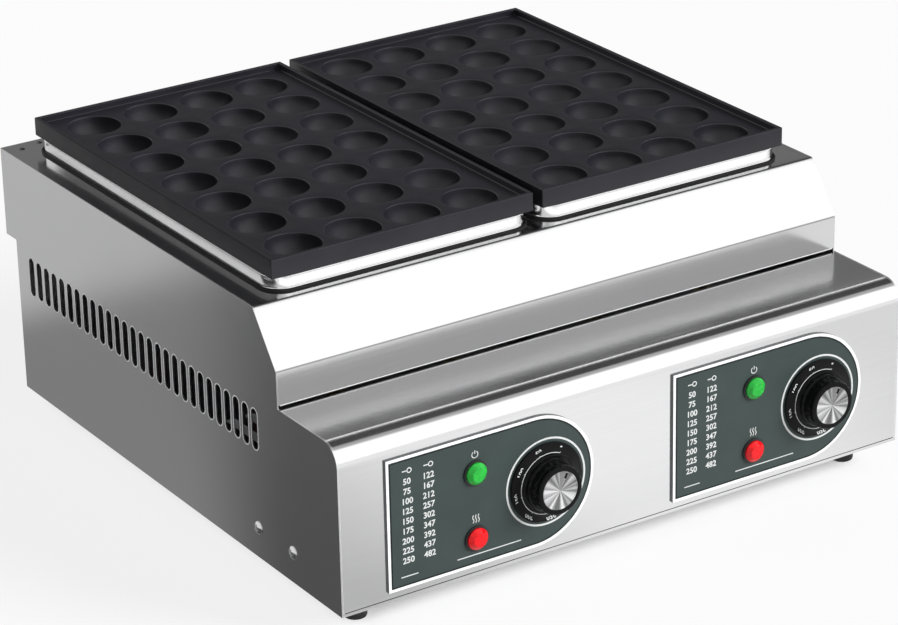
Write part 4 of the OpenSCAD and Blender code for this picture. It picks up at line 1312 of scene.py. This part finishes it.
def studio_world(settings):
    """A plain room, and for metal a studio banded about X: dark at the back, a softbox above the front."""
    world = bpy.data.worlds.new("studio")
    bpy.context.scene.world = world
    world.use_nodes = True
    room = Nodes(world.node_tree)
    x, y, z = room.axes(room.node("ShaderNodeTexCoord", {}).outputs["Generated"])
    # 0 at the back's horizon, 0.5 overhead, 1 at the front's horizon
    ramp = room.node("ShaderNodeValToRGB", {0: room.math("DIVIDE", room.math("ARCTAN2", z, y), math.pi)})
    # Degrees and level
    stops = ((0, 0.13), (32, 0.13), (42, 0.05), (105, 0.05), (115, 1.0), (180, 1.0))
    bands = ramp.color_ramp.elements
    while len(bands) < len(stops):
        bands.new(0.5)
    for band, (angle, level) in zip(bands, stops):
        band.position = angle / 180
        band.color = (level, level, level, 1)
    left_wall = 0.85
    mirrored = room.between(room.span(x, -0.2, 0.15), left_wall, room.times(ramp.outputs[0], settings.softbox))
    path = room.node("ShaderNodeLightPath", {}).outputs
    matt = room.between(path["Is Camera Ray"], settings.room, 1.0)
    background = world.node_tree.nodes["Background"].inputs
    room.feed(background["Strength"], room.between(room.mirrored(path), matt, mirrored))
    room.feed(background["Color"], WHITE)


def key_light(settings):
    """Soft light from the front right; the metal mirrors the room's softbox in its place."""
    source = Vector((0.6, -0.62, 0.45))
    data = bpy.data.lights.new("key_light", "SUN")
    data.energy = settings.key
    data.angle = math.radians(30)
    light = bpy.data.objects.new("key_light", data)
    bpy.context.scene.collection.objects.link(light)
    light.rotation_mode = "QUATERNION"
    light.rotation_quaternion = source.to_track_quat("Z", "Y")
    light.visible_glossy = False


def camera():
    """The photographed view, fitted to the casing's and plates' straight edges."""
    data = bpy.data.cameras.new("camera")
    data.sensor_width = 36
    data.lens = 141.7
    data.clip_end = 50
    view = bpy.data.objects.new("camera", data)
    bpy.context.scene.collection.objects.link(view)
    right = Vector((0.83595, -0.54845, -0.01985))
    up = Vector((0.23186, 0.32015, 0.91856))
    ahead = Vector((0.49743, 0.77247, -0.39479))
    view.rotation_mode = "QUATERNION"
    view.rotation_quaternion = Matrix((right, up, -ahead)).transposed().to_quaternion()
    view.location = (-1.30197, -2.01963, 1.13274)
    bpy.context.scene.camera = view


class OBJECT_OT_takoyaki_stage(PieceOperator, bpy.types.Operator):
    """Sets the floor, light and camera"""

    bl_idname = "object.takoyaki_stage"
    bl_label = "Stage"

    def execute(self, context):
        settings = context.scene.takoyaki_stage
        camera()
        studio_floor(settings)
        studio_cards()
        studio_world(settings)
        key_light(settings)
        context.scene.view_settings.view_transform = "Standard"
        return {"FINISHED"}


# ---- Panel and start ----

PIECES = (
    OBJECT_OT_takoyaki_casing,
    OBJECT_OT_takoyaki_plates,
    OBJECT_OT_takoyaki_heating,
    OBJECT_OT_takoyaki_knobs,
    OBJECT_OT_takoyaki_labels,
    OBJECT_OT_takoyaki_lamps,
    OBJECT_OT_takoyaki_fasteners,
    OBJECT_OT_takoyaki_feet,
    OBJECT_OT_takoyaki_electrics,
    OBJECT_OT_takoyaki_stage,
)
SETTINGS = (
    ("takoyaki_casing", CasingSettings),
    ("takoyaki_plate", PlateSettings),
    ("takoyaki_control", ControlSettings),
    ("takoyaki_stage", StageSettings),
)


class VIEW3D_PT_takoyaki(bpy.types.Panel):
    """Lists the pieces and the settings they are made with"""

    bl_idname = "VIEW3D_PT_takoyaki"
    bl_label = "Takoyaki maker"
    bl_space_type = "VIEW_3D"
    bl_region_type = "UI"
    bl_category = "Takoyaki maker"

    def draw(self, context):
        for name, group in SETTINGS:
            box = self.layout.box()
            for setting in group.__annotations__:
                box.prop(getattr(context.scene, name), setting)
        for piece in PIECES:
            self.layout.operator(piece.bl_idname)


def register():
    for _, group in SETTINGS:
        bpy.utils.register_class(group)
    for piece in (*PIECES, VIEW3D_PT_takoyaki):
        bpy.utils.register_class(piece)
    for name, group in SETTINGS:
        setattr(bpy.types.Scene, name, PointerProperty(type=group))


def unregister():
    for name, _ in SETTINGS:
        delattr(bpy.types.Scene, name)
    for piece in (VIEW3D_PT_takoyaki, *reversed(PIECES)):
        bpy.utils.unregister_class(piece)
    for _, group in reversed(SETTINGS):
        bpy.utils.unregister_class(group)


def main():
    register()
    for piece in PIECES:
        area, name = piece.bl_idname.split(".")
        getattr(getattr(bpy.ops, area), name)()


if __name__ == "__main__":
    main()
